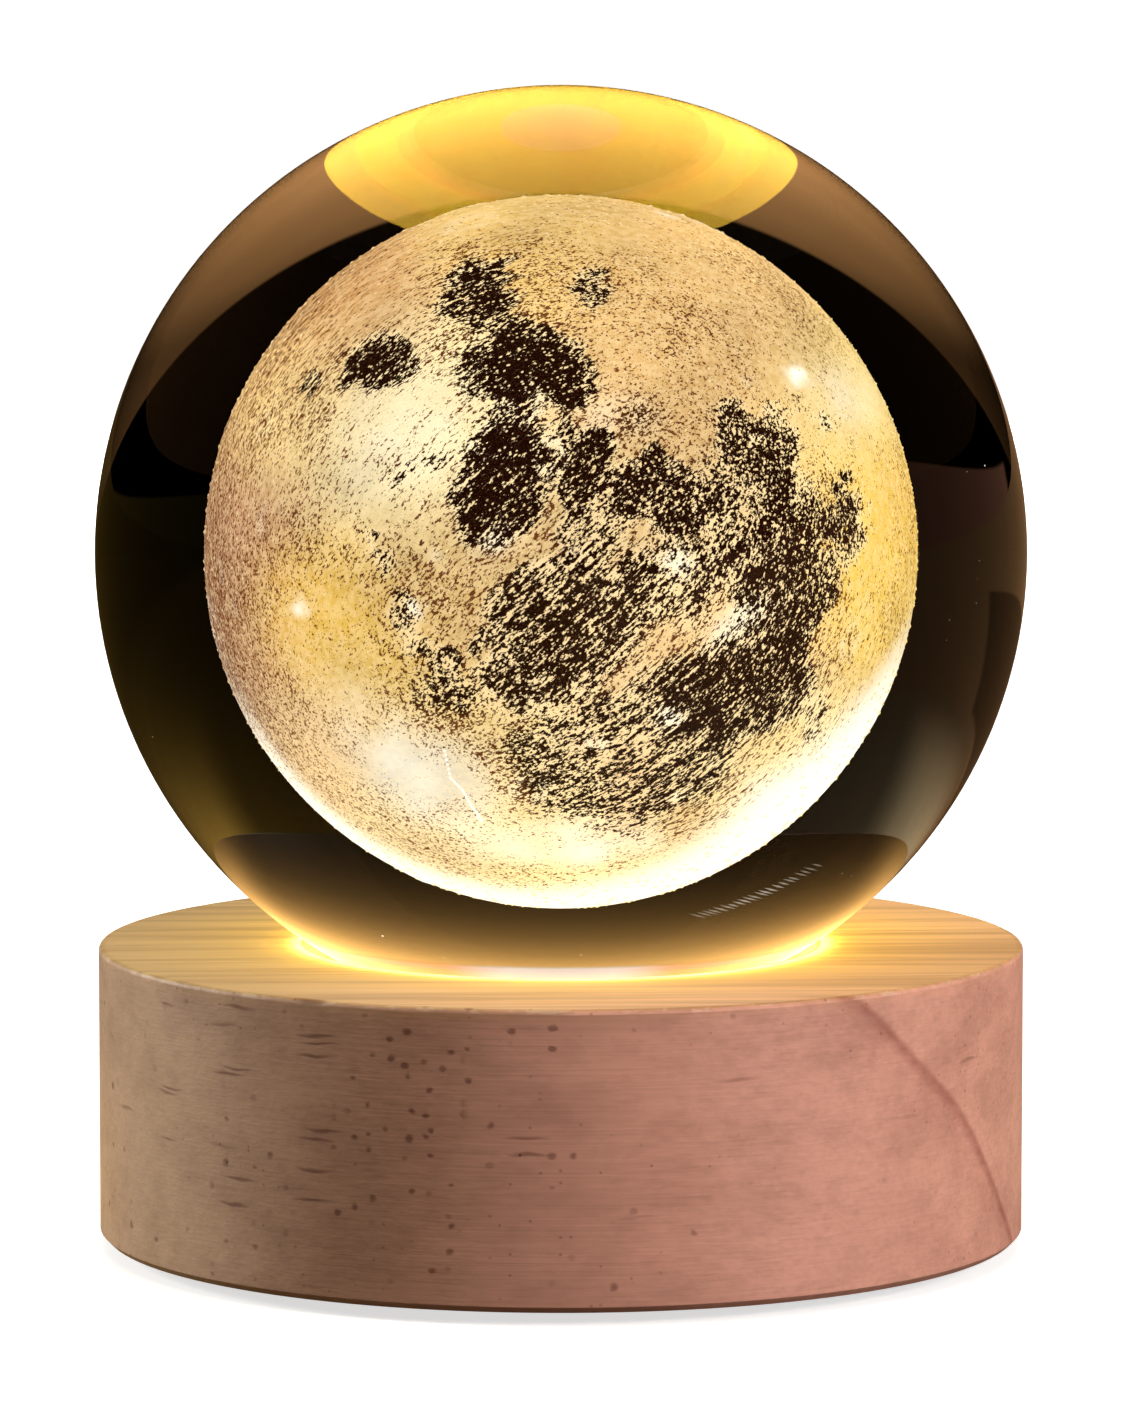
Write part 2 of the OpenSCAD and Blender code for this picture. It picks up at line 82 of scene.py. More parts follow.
cameraPlace = {
    "lens": 199.2,  # mm, with 36 mm along the photo's long side
    "inFront": 0.4979,  # m from the ball's middle
    "above": 0.0453,
    "lookDown": 6.3,  # degrees
}
cameraData = bpy.data.cameras.new("camera")
cameraData.lens = cameraPlace["lens"]
cameraData.sensor_width = 36
cameraData.clip_start = 0.01
cameraData.clip_end = 50
camera = put("camera", cameraData)
camera.location = ballMiddle + Vector((0, -cameraPlace["inFront"], cameraPlace["above"]))
camera.rotation_euler = (math.radians(90 - cameraPlace["lookDown"]), 0, 0)
bpy.context.scene.camera = camera
print("camera placed")


# Shader maths and the materials' common parts

class Sock:
    # one shader socket, with its maths written as plain expressions
    def __init__(self, finish, socket):
        self.finish = finish
        self.socket = socket

    def maths(self, operation, first, second):
        return self.finish.node("Math", {"operation": operation}, {0: first, 1: second})

    def __add__(self, other):
        return self.maths("ADD", self, other)

    def __radd__(self, other):
        return self.maths("ADD", other, self)

    def __sub__(self, other):
        return self.maths("SUBTRACT", self, other)

    def __rsub__(self, other):
        return self.maths("SUBTRACT", other, self)

    def __mul__(self, other):
        return self.maths("MULTIPLY", self, other)

    def __rmul__(self, other):
        return self.maths("MULTIPLY", other, self)

    def __truediv__(self, other):
        return self.maths("DIVIDE", self, other)

    def __rtruediv__(self, other):
        return self.maths("DIVIDE", other, self)

    def __pow__(self, other):
        return self.maths("POWER", self, other)


class Finish:
    # a material, or the room, in the making: node() adds any node, the rest are short ways to call it
    def __init__(self, name, room=None):
        self.owner = room or bpy.data.materials.new(name)
        self.owner.use_nodes = True
        self.tree = self.owner.node_tree
        self.tree.nodes.clear()
        self.place = self.node("TexCoord", out="Generated" if room else "Object")

    def node(self, kind, settings=None, values=None, out=0):
        made = self.tree.nodes.new("ShaderNode" + kind)
        made.location = (180 * (len(self.tree.nodes) % 12), -260 * (len(self.tree.nodes) // 12))
        for key, setting in (settings or {}).items():
            setattr(made, key, setting)
        for key, value in (values or {}).items():
            if isinstance(value, Sock):
                self.tree.links.new(value.socket, made.inputs[key])
            else:
                made.inputs[key].default_value = value
        return Sock(self, made.outputs[out]) if made.outputs else None

    def sized(self, size, turn=(0, 0, 0), shift=(0, 0, 0)):
        # coordinates in which one unit is that size in mm, or the three sizes along the axes; shift is in m
        sizes = size if isinstance(size, tuple) else (size,) * 3
        values = {"Vector": self.place, "Location": shift, "Rotation": turn, "Scale": [v / 1000 for v in sizes]}
        return self.node("Mapping", {"vector_type": "TEXTURE"}, values)

    def noise(self, size, detail=2.0, roughness=0.5, **placing):
        values = {"Vector": self.sized(size, **placing), "Scale": 1.0, "Detail": detail, "Roughness": roughness}
        return self.node("TexNoise", None, values)

    def painted(self, name, out="Color"):
        return self.node("Attribute", {"attribute_name": name}, out=out)

    def cells(self, vector, flat=False):
        # distance to the nearest cell's point, and a random number of that cell
        settings = {"voronoi_dimensions": "2D" if flat else "3D"}
        outs = self.node("TexVoronoi", settings, {"Vector": vector, "Scale": 1.0}).socket.node.outputs
        chance = self.node("SeparateColor", None, {0: Sock(self, outs["Color"])})
        return Sock(self, outs["Distance"]), chance

    def pair(self, first, second):
        return self.node("CombineXYZ", None, {0: first, 1: second})

    def step(self, value, low, high, start=0.0, end=1.0):
        values = {"Value": value, "From Min": low, "From Max": high, "To Min": start, "To Max": end}
        return self.node("MapRange", {"interpolation_type": "SMOOTHSTEP"}, values)

    def mix(self, factor, first, second, blend="MIX"):
        settings = {"data_type": "RGBA", "blend_type": blend, "clamp_factor": True}
        return self.node("Mix", settings, {0: factor, 6: first, 7: second}, out=2)

    def split(self, vector):
        parts = self.node("SeparateXYZ", None, {0: vector}).socket.node.outputs
        return [Sock(self, part) for part in parts]

    def bump(self, height, depth, strength=1.0):
        return self.node("Bump", None, {"Height": height, "Distance": depth, "Strength": strength})

    def falloff(self, distance, reach):
        # 1 at no distance, and a third as much for each reach beyond
        return self.node("Math", {"operation": "EXPONENT"}, {0: distance * (-1 / reach)})

    def rays(self):
        # whether the ray that arrives is the camera's own, from glass or a mirror, or refracted by the glass
        outs = self.node("LightPath").socket.node.outputs
        return [Sock(self, outs[name]) for name in ("Is Camera Ray", "Is Glossy Ray", "Is Transmission Ray")]

    def closeLit(self, colour, dulling, strength):
        # a matt surface with painted light: it glows by its own emission instead of being lit
        return self.close({
            "Base Color": self.mix(dulling, colour, black),
            "Roughness": 0.9,
            "Specular IOR Level": 0.0,
            "Emission Color": colour,
            "Emission Strength": strength,
        })

    def close(self, values):
        shader = self.node("BsdfPrincipled", None, values)
        self.node("OutputMaterial", None, {"Surface": shader})
        return self.owner


def shade(red, green, blue):
    # a colour as it looks on screen, 0 to 255, in the shader's own scale
    parts = [v / 255 for v in (red, green, blue)]
    return tuple(v / 12.92 if v <= 0.04045 else ((v + 0.055) / 1.055) ** 2.4 for v in parts) + (1.0,)


black = (0.0, 0.0, 0.0, 1.0)


def dress(nodeName, material):
    # a CAD node keeps its mesh and gets this material in all its slots
    for slot in nodes[nodeName].material_slots:
        slot.material = material


def addPiece(name, mesh, material, body, slotName, *replaced):
    piece = put(name, mesh)
    mesh.materials.clear()
    mesh.materials.append(material)
    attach(piece, body)
    if replaced:
        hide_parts(*replaced)
    return piece


# Wood of the base

woodLook = {
    "left": shade(212, 174, 140),
    "right": shade(236, 172, 150),
    "dark": shade(120, 78, 58),
    "vessel": shade(104, 54, 42),
    "growthLine": shade(140, 58, 48),
    "topStreak": shade(150, 98, 62),
    "wornAndLitEdge": shade(240, 214, 186),
    "topLampTint": (0.96, 1.04, 0.82, 1.0),  # painted light: the top's colour against the side's, warmed by the lamps' light, and lighter again at the right where more light falls
    "rightLampTint": (1.06, 1.14, 1.0, 1.0),
    "paintedGlowTint": (0.98, 0.88, 0.16, 1.0),  # painted light: the golden lamplight round the ball's foot, and the ball's shade that takes the blue out
    "glow": ((1.0, 0.62, 0.05, 1.0), (1.0, 0.60, 0.22, 1.0), (1.0, 0.62, 0.03, 1.0)),  # the wood's painted glow: wide, line, in the mouth
    # painted reflection: the seat as the ball's outside mirrors it, and the same in the middle of its front
    "glare": ((1.0, 0.42, 0.16, 1.0), (1.0, 0.85, 0.70, 1.0)),
    "mirroredTop": (1.0, 0.53, 0.14, 1.0),  # painted reflection: the wood's top as the ball shows it
    "wideGlow": 0.42,
    "lineGlow": 2.8,
    "mouthGlow": 6.5,
    "glowReach": (0.8, 5.2),  # mm out from the ball's foot: the bright line, and the wide glow
    "mouth": 16.7,  # mm, its radius, and that of the side
    "side": 29.9,
    "growthPlane": -4.0,  # mm, the depth of the one clear growth line
}


def frontSpot(finish, x, y):
    # 1 in the middle of the seat's front, where the photo's line of light is whitest; x and y in mm
    return finish.step((x * x) ** 0.5, 8.0, 3.0) * finish.step(y, -9.0, -12.0)


def woodPores(wood, arc, z, side, clouds, ragged):
    # vessels cut along their length show as dashes, the others as dots
    waver = wood.noise((2.6, 2.6, 1), 1.0) - 0.5
    dashes, dashChance = wood.cells(wood.pair(arc / 6.6 + 0.3, z / 0.66 + waver * 0.9), flat=True)
    dashZone = wood.step(arc, -9.0, -15.0) * wood.step(arc, -34.0, -27.0) * 0.19
    dashKeep = dashChance + dashZone + wood.step(z, 4.0, 12.0) * 0.05
    dash = wood.step(dashes + ragged * 0.10, 0.27, 0.05) * wood.step(dashKeep, 0.97, 1.06) * side
    dots, dotChance = wood.cells(wood.pair(arc / 1.25 + 0.4, z / 1.05 + waver * 0.6), flat=True)
    dotZone = wood.step(arc, -16.5, -13.0) * wood.step(arc, -4.0, -7.5) * wood.step(z, 7.5, 11.0, 0.25, 1.0)
    keep = dotChance + dotZone * 0.42 - wood.step(arc, -2.0, 20.0) * 0.10
    dot = wood.step(dots + ragged * 0.50, 0.27, 0.05) * wood.step(keep, 0.84, 1.02) * side
    tiny, tinyChance = wood.cells(wood.pair(arc / 0.62, z / 0.55), flat=True)
    prick = wood.step(tiny, 0.20, 0.12) * wood.step(tinyChance, 0.90, 0.95) * side * wood.step(clouds, 0.42, 0.56)
    return dash, dot, prick


def woodGlow(wood, look, place, out, top, streaks):
    # painted light: how strong the lamplight painted into the wood's glow is, its colour, and where the ball's glass
    # sees the top; out is mm from the mouth
    x, y, z = place
    near, far = look["glowReach"]
    pool = wood.falloff(out, far) * (wood.step(streaks, 0.66, 0.40) * 0.5 + 0.6) * wood.step(x, -20.0, 20.0, 0.75, 1.15)
    pool = pool * (wood.step(y, -1.0, 7.0) * 0.6 + 1.0)
    flicker = wood.noise(3, 3.0, 0.7) * 1.6 + 0.25
    bright = pool * look["wideGlow"] + wood.falloff(out, near) * flicker * look["lineGlow"]
    inside = wood.step(out, 0.25, -0.05)
    _, glassy, through = wood.rays()
    mouthGlow = inside * (glassy * 0.86 + 0.14) * look["mouthGlow"]
    glow = bright * (1.0 - inside) * wood.step(z, 18.4, 19.5) + mouthGlow
    wide, line, mouth = look["glow"]
    tone = wood.mix(inside, wood.mix(wood.step(out, 1.4, 0.4), wide, line), mouth)
    # in the photo's ball the wood's top is a golden glow at the foot and behind it, and else as dark as the room
    # painted reflection: where the ball mirrors the top, the wood is painted with this glow or dark instead of its lit
    # colour
    inGlass = glassy * top * (1.0 - inside)
    behind = wood.step(y, -8.0, 4.0) * wood.step(out, 14.3, 7.3, 0.45, 1.0) * 0.85
    behind = behind + wood.step(out, 13.3, 3.3, 0.35, 1.0) * 0.25
    mirroredGlow = (wood.falloff(out - 0.7, 2.2) * 5.0 + behind) * (1.0 - through)
    glow = glow * (1.0 - inGlass) + mirroredGlow * inGlass
    tone = wood.mix(inGlass, tone, look["mirroredTop"])
    # painted reflection: the seat's glare as the ball's outside mirrors the mouth
    glare = wood.mix(frontSpot(wood, x, y), *look["glare"])
    tone = wood.mix(inside * glassy * (1.0 - through), tone, glare)
    return glow, tone, inGlass


def woodFinish(look):
    wood = Finish("pale_wood")
    x, y, z = wood.split(wood.sized(1))
    radius = (x * x + y * y) ** 0.5
    arc = wood.node("Math", {"operation": "ARCTAN2"}, {0: x, 1: y * -1.0}) * look["side"]  # mm from the front
    side = wood.step(radius, 29.3, 29.6)
    top = wood.step(z, 19.45, 19.58)

    # grain: long streaks along X, and soft clouds
    fine = wood.noise((16, 0.34, 0.34))
    hair = wood.noise((30, 1.2, 0.16))
    broad = wood.noise((45, 3.6, 3.6))
    streaks = wood.noise((34, 1.7, 20), 3.0, 0.55, turn=(0, 0, 0.05))
    clouds = wood.noise((12, 10, 6), shift=(0.306, 0.1, 0))
    mottle = wood.noise((2.2, 1.8, 1.1), 3.0, 0.6)

    # one clear growth line, cut by the round side, and the slow darkening up to it
    wobble = wood.noise((60, 16, 16), 1.0) - 0.5
    ragged = wood.noise((1.6, 1.6, 0.8)) - 0.5
    depth = y * 0.743 + z * 0.669 + x * 0.02 + wobble * 2.4 + ragged * 0.22 - look["growthPlane"]
    clear = wood.step(x, 12.0, 18.0)
    ring = wood.step(depth, -0.75, 0.0) * wood.step(depth, 0.38, 0.0) * clear * (ragged + 0.7)
    second = wood.step(depth, 0.9, 1.05) * wood.step(depth, 1.3, 1.12) * wood.step(z, 12.0, 7.0) * clear
    late = wood.step(depth, -3.5, 0.0) * wood.step(depth, 0.5, 0.0) * clear

    dash, dot, prick = woodPores(wood, arc, z, side, clouds, ragged)
    base = wood.mix(wood.step(x, -28.0, 8.0), look["left"], look["right"])
    # the upper edge is painted pale, partly worn nicks and partly a painted highlight, and the lower edge dark as
    # painted shade where it meets the floor
    upper = wood.step(radius, 29.60, 29.75) * wood.step(z, 19.25, 19.40)
    worn = wood.step(wood.noise((1.4, 1.4, 0.6)), 0.52, 0.62)
    layers = (
        (wood.step(fine, 0.34, 0.72) * 0.08, "dark"),
        (wood.step(hair, 0.36, 0.70) * (0.09 - top * 0.06), "dark"),
        (wood.step(broad, 0.40, 0.68) * 0.14, "dark"),
        (wood.step(clouds, 0.40, 0.64) * 0.16 * side, "dark"),
        (wood.step(mottle, 0.42, 0.66) * 0.12 * side, "dark"),
        (wood.step(streaks, 0.44, 0.64) * 0.34 * top, "topStreak"),
        (late * 0.16 + second * 0.08 + ring * 0.52, "growthLine"),
        (dot * 0.66 + dash * 0.62 + prick * 0.40, "vessel"),
        # the pale upper edge: worn nicks and a painted highlight
        (upper * worn * 0.30, "wornAndLitEdge"),
        # painted shade along the bottom edge, in the vessels' colour
        (wood.step(z, 1.4, 0.9) * 0.32, "vessel"),
    )
    for share, colour in layers:
        base = wood.mix(share, base, look[colour])

    # painted light round the ball's foot: the lamp's golden light and the ball's shade are painted into the colour,
    # which takes the blue out of it
    out = radius - look["mouth"]
    paintedGlowShare = wood.falloff(wood.node("Math", {"operation": "MAXIMUM"}, {0: out, 1: 0.0}), 8.5) * top
    paintedGlowShare = paintedGlowShare * wood.step(x, -26.0, 6.0, 0.7, 1.0)
    for share, tint in ((top, "topLampTint"), (top * wood.step(x, 10.0, 28.0), "rightLampTint"), (paintedGlowShare, "paintedGlowTint")):
        base = wood.mix(share, base, look[tint], blend="MULTIPLY")
    glow, tone, inGlass = woodGlow(wood, look, (x, y, z), out, top, streaks)
    # painted reflection: where the ball mirrors the top, its colour is painted nearly black
    base = wood.mix(inGlass * 0.92, base, black)
    height = fine * 0.4 + hair * 0.3 + broad * 0.3 - dash * 0.15 - dot * 0.25
    return wood.close({
        "Base Color": base,
        "Roughness": wood.step(fine, 0.2, 0.8, 0.46, 0.62) - top * 0.06,
        "IOR": 1.5,
        "Specular IOR Level": 0.35,
        "Normal": wood.bump(height, 0.00008, 0.6),
        "Emission Color": wood.mix(glow / look["mouthGlow"], black, tone),
        "Emission Strength": look["mouthGlow"],
    })


dress("wooden_base", woodFinish(woodLook))
print("wood done")


# Clear ball

ballLook = {"subdivisions": 6, "tint": shade(255, 255, 252), "sheen": (0.9, 0.9, 0.9, 1.0)}


def ballMesh(name, radius, middle, subdivisions):
    shell = bmesh.new()
    bmesh.ops.create_icosphere(shell, subdivisions=subdivisions, radius=radius)
    bmesh.ops.translate(shell, verts=shell.verts, vec=middle)
    mesh = meshFrom(shell, name)
    mesh.polygons.foreach_set("use_smooth", [True] * len(mesh.polygons))
    return mesh


def glassFinish(look):
    glass = Finish("clear_glass")
    haze = glass.noise(12, 1.0)
    return glass.close({
        "Base Color": glass.mix(haze * 0.02, look["tint"], shade(250, 246, 236)),
        "Roughness": 0.0,
        "IOR": glassIndex,
        "Specular Tint": look["sheen"],
        "Transmission Weight": 1.0,
    })


ball = addPiece("clear_ball", ballMesh("clear_ball", ballRadius, ballMiddle, ballLook["subdivisions"]),
                glassFinish(ballLook), "ball", "clear_glass", "crystal_ball")
print("ball done")


# Moon engraved in the ball. Places on it are given as the front view through the glass shows them: right and up from
# the moon's middle, with 1 at its edge. Each dark sea is right, up, half width, half height, tilt in degrees, depth.
moonLook = {
    "subdivisions": 6,
    "relief": 0.00022,  # how deep the seas lie under the uplands, m
    "sunk": 0.00006,  # how far the face lies under the dots' outermost, and how far its rims may rise
    "highest": 0.00005,
    "craters": 90,
    "seed": 11,
    "strength": 1.3,
    "grain": (0.27, 0.13, 0.13),  # one grain's length and widths, mm
    "glint": (0.30, 0.20, 0.20),  # how far apart the seas' bright grains are
    "hatch": (2.4, 0.21, 0.21),  # one scratch's
    "slant": math.radians(-42),
    "seaGrain": shade(22, 6, 2),
    "landGrain": shade(104, 56, 26),
    "seaGleam": shade(54, 28, 15),
    "seaSpark": shade(248, 220, 168),
    "upland": (240, 204, 138),  # where no colour below is near
    "uplandShadow": shade(196, 136, 72),
    "lampSide": shade(255, 252, 236),
    "lampSideGrain": shade(214, 180, 104),
}
darkSeas = (
    (-0.5, 0.545, 0.11, 0.09, 15, 1.0),
    (-0.225, 0.718, 0.115, 0.085, 10, 0.84),
    (0.066, 0.726, 0.065, 0.055, 0, 0.6),
    (-0.12, 0.49, 0.17, 0.115, 15, 0.98),
    (-0.02, 0.455, 0.13, 0.105, 0, 1.0),
    (-0.17, 0.62, 0.06, 0.05, 0, 0.5),
    (-0.15, 0.35, 0.07, 0.06, 0, 0.62),
    (-0.175, 0.208, 0.165, 0.145, 15, 0.97),
    (0.084, 0.215, 0.06, 0.09, 10, 0.98),
    (0.0, 0.28, 0.05, 0.05, 0, 0.6),
    (0.287, 0.14, 0.145, 0.09, -10, 0.86),
    (0.27, 0.245, 0.035, 0.04, 0, 0.8),
    (0.55, 0.3, 0.15, 0.12, -30, 0.9),
    (0.59, 0.11, 0.12, 0.14, 0, 0.82),
    (0.76, 0.059, 0.05, 0.1, 10, 0.85),
    (0.756, 0.2, 0.02, 0.02, 0, 0.95),
    (0.6, -0.142, 0.13, 0.2, -10, 0.86),
    (0.022, -0.178, 0.23, 0.18, 20, 0.8),
    (0.03, -0.25, 0.15, 0.1, 0, 0.84),
    (-0.048, -0.336, 0.15, 0.09, -20, 0.78),
    (0.514, -0.353, 0.19, 0.16, 30, 0.86),
    (0.345, -0.417, 0.17, 0.12, 0, 0.7),
    (0.197, -0.563, 0.33, 0.18, 5, 0.56),
    (-0.7, 0.47, 0.03, 0.018, 35, 0.45),
    (0.72, 0.36, 0.022, 0.022, 0, 0.85),
    (0.7, -0.66, 0.03, 0.022, 0, 0.6),
    (-0.5, -0.03, 0.09, 0.045, -55, 0.46),
    (-0.4, -0.2, 0.1, 0.04, -55, 0.48),
    (-0.29, -0.34, 0.1, 0.05, -60, 0.6),
    (0.851, 0.105, 0.022, 0.035, 0, 0.55),
    (-0.427, 0.21, 0.07, 0.03, 35, 0.5),
    (0.7, -0.442, 0.05, 0.07, 0, 0.5),
    (0.09, 0.07, 0.1, 0.08, 0, 0.45),
    (0.2, -0.11, 0.12, 0.1, 40, 0.6),
    (-0.65, 0.167, 0.017, 0.017, 0, 0.95),
    (-0.24, -0.246, 0.021, 0.021, 0, 0.95),
)
# Broad stretches with scattered dark grains, given in the same way
faintSeas = (
    (0.42, 0.02, 0.34, 0.5, 0, 0.34),
    (0.15, -0.36, 0.52, 0.34, 0, 0.34),
    (-0.1, 0.48, 0.28, 0.36, 10, 0.16),
    (-0.5, 0.02, 0.2, 0.26, 0, 0.2),
    (-0.32, -0.3, 0.22, 0.2, 0, 0.22),
)
# Broad colours of the uplands: right, up, reach, colour
uplandColours = (
    (-0.95, 0.1, 0.2, (184, 138, 108)),
    (-0.92, -0.25, 0.2, (178, 136, 116)),
    (-0.85, 0.45, 0.2, (225, 170, 100)),
    (-0.62, 0.72, 0.18, (196, 146, 90)),
    (-0.1, 0.92, 0.2, (252, 212, 124)),
    (0.3, 0.85, 0.2, (250, 206, 128)),
    (0.4, 0.55, 0.25, (244, 202, 134)),
    (0.78, 0.42, 0.18, (250, 224, 138)),
    (0.93, 0.1, 0.18, (244, 204, 88)),
    (0.9, -0.18, 0.14, (250, 214, 100)),
    (-0.42, 0.3, 0.25, (255, 243, 186)),
    (-0.76, 0.38, 0.15, (252, 234, 160)),
    (-0.7, -0.18, 0.14, (252, 208, 88)),
    (-0.62, -0.14, 0.14, (252, 208, 88)),
    (-0.56, -0.3, 0.14, (252, 212, 96)),
    (-0.42, -0.4, 0.12, (252, 218, 116)),
    (-0.35, -0.1, 0.2, (236, 202, 132)),
    (-0.7, -0.55, 0.18, (232, 202, 150)),
    (-0.4, -0.78, 0.2, (242, 226, 172)),
    (0.05, 0.05, 0.25, (240, 208, 146)),
    (0.3, -0.3, 0.3, (246, 212, 150)),
    (0.6, -0.6, 0.2, (255, 236, 160)),
    (0.0, -0.85, 0.2, (255, 238, 170)),
    (-0.15, -0.62, 0.15, (250, 226, 152)),
    (0.18, -0.59, 0.05, (206, 128, 56)),
    (0.17, -0.715, 0.04, (214, 140, 64)),
    (-0.44, -0.59, 0.08, (206, 218, 214)),
    (-0.29, -0.63, 0.08, (202, 214, 212)),
    (-0.38, -0.69, 0.05, (208, 218, 210)),
)
# Bright spots: right, up, half width, half height, tilt, brightness
brightSpots = (
    (0.32, -0.03, 0.04, 0.035, 0, 0.55),
    (0.646, 0.485, 0.022, 0.022, 0, 1.0),
    (-0.4, -0.156, 0.017, 0.017, 0, 1.0),
    (-0.716, -0.153, 0.02, 0.02, 0, 0.7),
    (0.3, -0.45, 0.035, 0.03, 0, 0.7),
    (0.486, -0.19, 0.09, 0.04, 35, 0.36),
    (-0.416, 0.313, 0.18, 0.15, 20, 0.22),
    (-0.37, -0.6, 0.28, 0.11, -38, 0.32),
    (-0.23, -0.77, 0.16, 0.05, -30, 0.34),
    (0.01, -0.8, 0.24, 0.06, 0, 0.48),
    (0.15, 0.37, 0.09, 0.06, 0, 0.15),
    (0.78, 0.43, 0.1, 0.08, -40, 0.22),
    (-0.18, 0.03, 0.05, 0.03, 30, 0.35),
)
# Calm stretches with few dark grains, given in the same way
calmSpots = (
    (-0.64, -0.2, 0.16, 0.2, 0, 0.17),
    (0.0, 0.93, 0.55, 0.09, 0, 0.16),
    (0.88, -0.1, 0.09, 0.42, 0, 0.14),
    (0.78, 0.42, 0.16, 0.14, -40, 0.18),
    (-0.76, 0.2, 0.11, 0.14, 0, 0.12),
    (0.4, 0.68, 0.3, 0.2, -30, 0.08),
    (-0.42, 0.31, 0.2, 0.16, 20, 0.08),
    (-0.44, -0.59, 0.09, 0.05, -25, 0.3),
    (-0.29, -0.63, 0.06, 0.05, 0, 0.3),
)
# Seas of the far side: degrees right of the front, degrees up, degrees across, depth
farSeas = ((150, 25, 34, 0.7), (172, -8, 26, 0.8), (-150, 10, 30, 0.6), (-165, 42, 22, 0.5), (178, -45, 24, 0.6))


def seenFrom(directions):
    # where the front view shows each direction from the moon's middle
    tilt = math.atan2(cameraPlace["above"], cameraPlace["inFront"])
    toCamera = np.array((0, -math.cos(tilt), math.sin(tilt)))
    upward = np.array((0, math.sin(tilt), math.cos(tilt)))
    seen = np.linspace(0, 1, 400)
    inside = seen * moonRadius  # nearest distance of the ray to the middle, in the glass
    outside = seen * moonRadius * glassIndex
    turn = np.arcsin(outside / ballRadius) + np.arcsin(seen) - np.arcsin(inside / ballRadius)
    angle = np.arccos(np.clip(directions @ toCamera, -1, 1))
    reach = np.interp(angle, turn, seen) + np.maximum(angle - turn[-1], 0)
    right = directions[:, 0]
    up = directions @ upward
    across = np.maximum(np.hypot(right, up), 1e-9)
    return reach * right / across, reach * up / across, reach


def patch(right, up, spot, edge):
    # 1 inside an oval spot, falling to 0 over its edge
    a = math.radians(spot[4])
    dx = right - spot[0]
    dy = up - spot[1]
    along = (dx * math.cos(a) + dy * math.sin(a)) / spot[2]
    across = (dy * math.cos(a) - dx * math.sin(a)) / spot[3]
    return 1 / (1 + np.exp((np.hypot(along, across) - 1) / edge))


def cloud(directions, waves, seed):
    # a smooth random field over the ball, about 1 high, with that many waves round it
    rng = np.random.default_rng(seed)
    field = np.zeros(len(directions))
    for number in range(32):
        wave = rng.normal(size=3)
        wave *= waves * (0.6 + 0.8 * rng.random()) / np.linalg.norm(wave)
        field += np.cos(directions @ wave + rng.random() * 2 * math.pi)
    return field / 4


def seaDepth(directions, right, up):
    sea = np.zeros(len(directions))
    for spot in darkSeas:
        sea = np.maximum(sea, spot[5] * patch(right, up, spot, 0.10))
    for spot in faintSeas:
        faint = spot[5] * patch(right, up, spot, 0.25)
        sea = np.maximum(sea, faint * (1 + 0.35 * cloud(directions, 22, 6)))
    for aside, upward, across, depth in farSeas:
        angle = np.degrees(np.arccos(np.clip(directions @ np.array(direction(aside, upward)), -1, 1)))
        sea = np.maximum(sea, depth / (1 + np.exp((angle - across / 2) / 2.0)))
    return sea


def uplandTone(directions, right, up, look):
    weight = np.full(len(directions), 0.02)
    tone = np.outer(weight, shade(*look["upland"])[:3])
    for px, py, size, colour in uplandColours:
        share = np.exp(-((right - px) ** 2 + (up - py) ** 2) / size ** 2)
        tone += share[:, None] * np.array(shade(*colour)[:3])
        weight += share
    tone /= weight[:, None] * look["strength"]
    tone *= (1 + 0.10 * cloud(directions, 7, 7) + 0.05 * cloud(directions, 24, 8))[:, None]
    return tone


def lampLight(directions, right, up, reach):
    # how bright each place is above the rest, and whether the front view shows it
    lift = np.zeros(len(directions))
    for spot in brightSpots:
        lift = np.maximum(lift, spot[5] * patch(right, up, spot, 0.22))
    lift *= 1 + 0.18 * cloud(directions, 34, 12)
    # the side turned to the lamps is nearly white
    bearing = np.degrees(np.arctan2(up, right))
    leftward = 0.84 + 0.135 * (1 - np.exp((bearing + 50) / 35))
    inner = np.where(bearing < -50, leftward, 0.84 + 0.0036 * (bearing + 50))
    soft = 0.006 + 0.16 * np.maximum(0.98 - inner, 0)
    flood = 1 / (1 + np.exp((inner - reach) / soft)) / (1 + np.exp((np.abs(bearing + 84) - 68) / 5))
    # beyond the edge, where only other views look, the moon's underside is the bright part
    front = 1 / (1 + np.exp((reach - 1.22) / 0.07))
    under = 0.75 / (1 + np.exp((directions[:, 2] + 0.76 + 0.02 * cloud(directions, 12, 13)) / 0.05))
    lift = np.maximum(lift, flood * front)
    lift = np.maximum(lift, under * (1 - front))
    return lift, front


def addCraters(directions, look, relief, lift, dark):
    rng = np.random.default_rng(look["seed"])
    for number in range(look["craters"]):
        middle = rng.normal(size=3)
        middle /= np.linalg.norm(middle)
        size = math.radians(1.0 + 3.2 * rng.random() ** 3)
        far = np.arccos(np.clip(directions @ middle, -1, 1)) / size
        bowl = np.where(far < 1, far ** 2 - 1, 0) + np.exp(-((far - 1) / 0.28) ** 2) * 0.9
        relief += bowl * size * moonRadius * 0.10
        lift = np.maximum(lift, np.exp(-((far - 1) / 0.3) ** 2) * 0.35 * rng.random())
        dark += np.where(far < 0.8, 0.12, 0)
    return relief, lift, dark


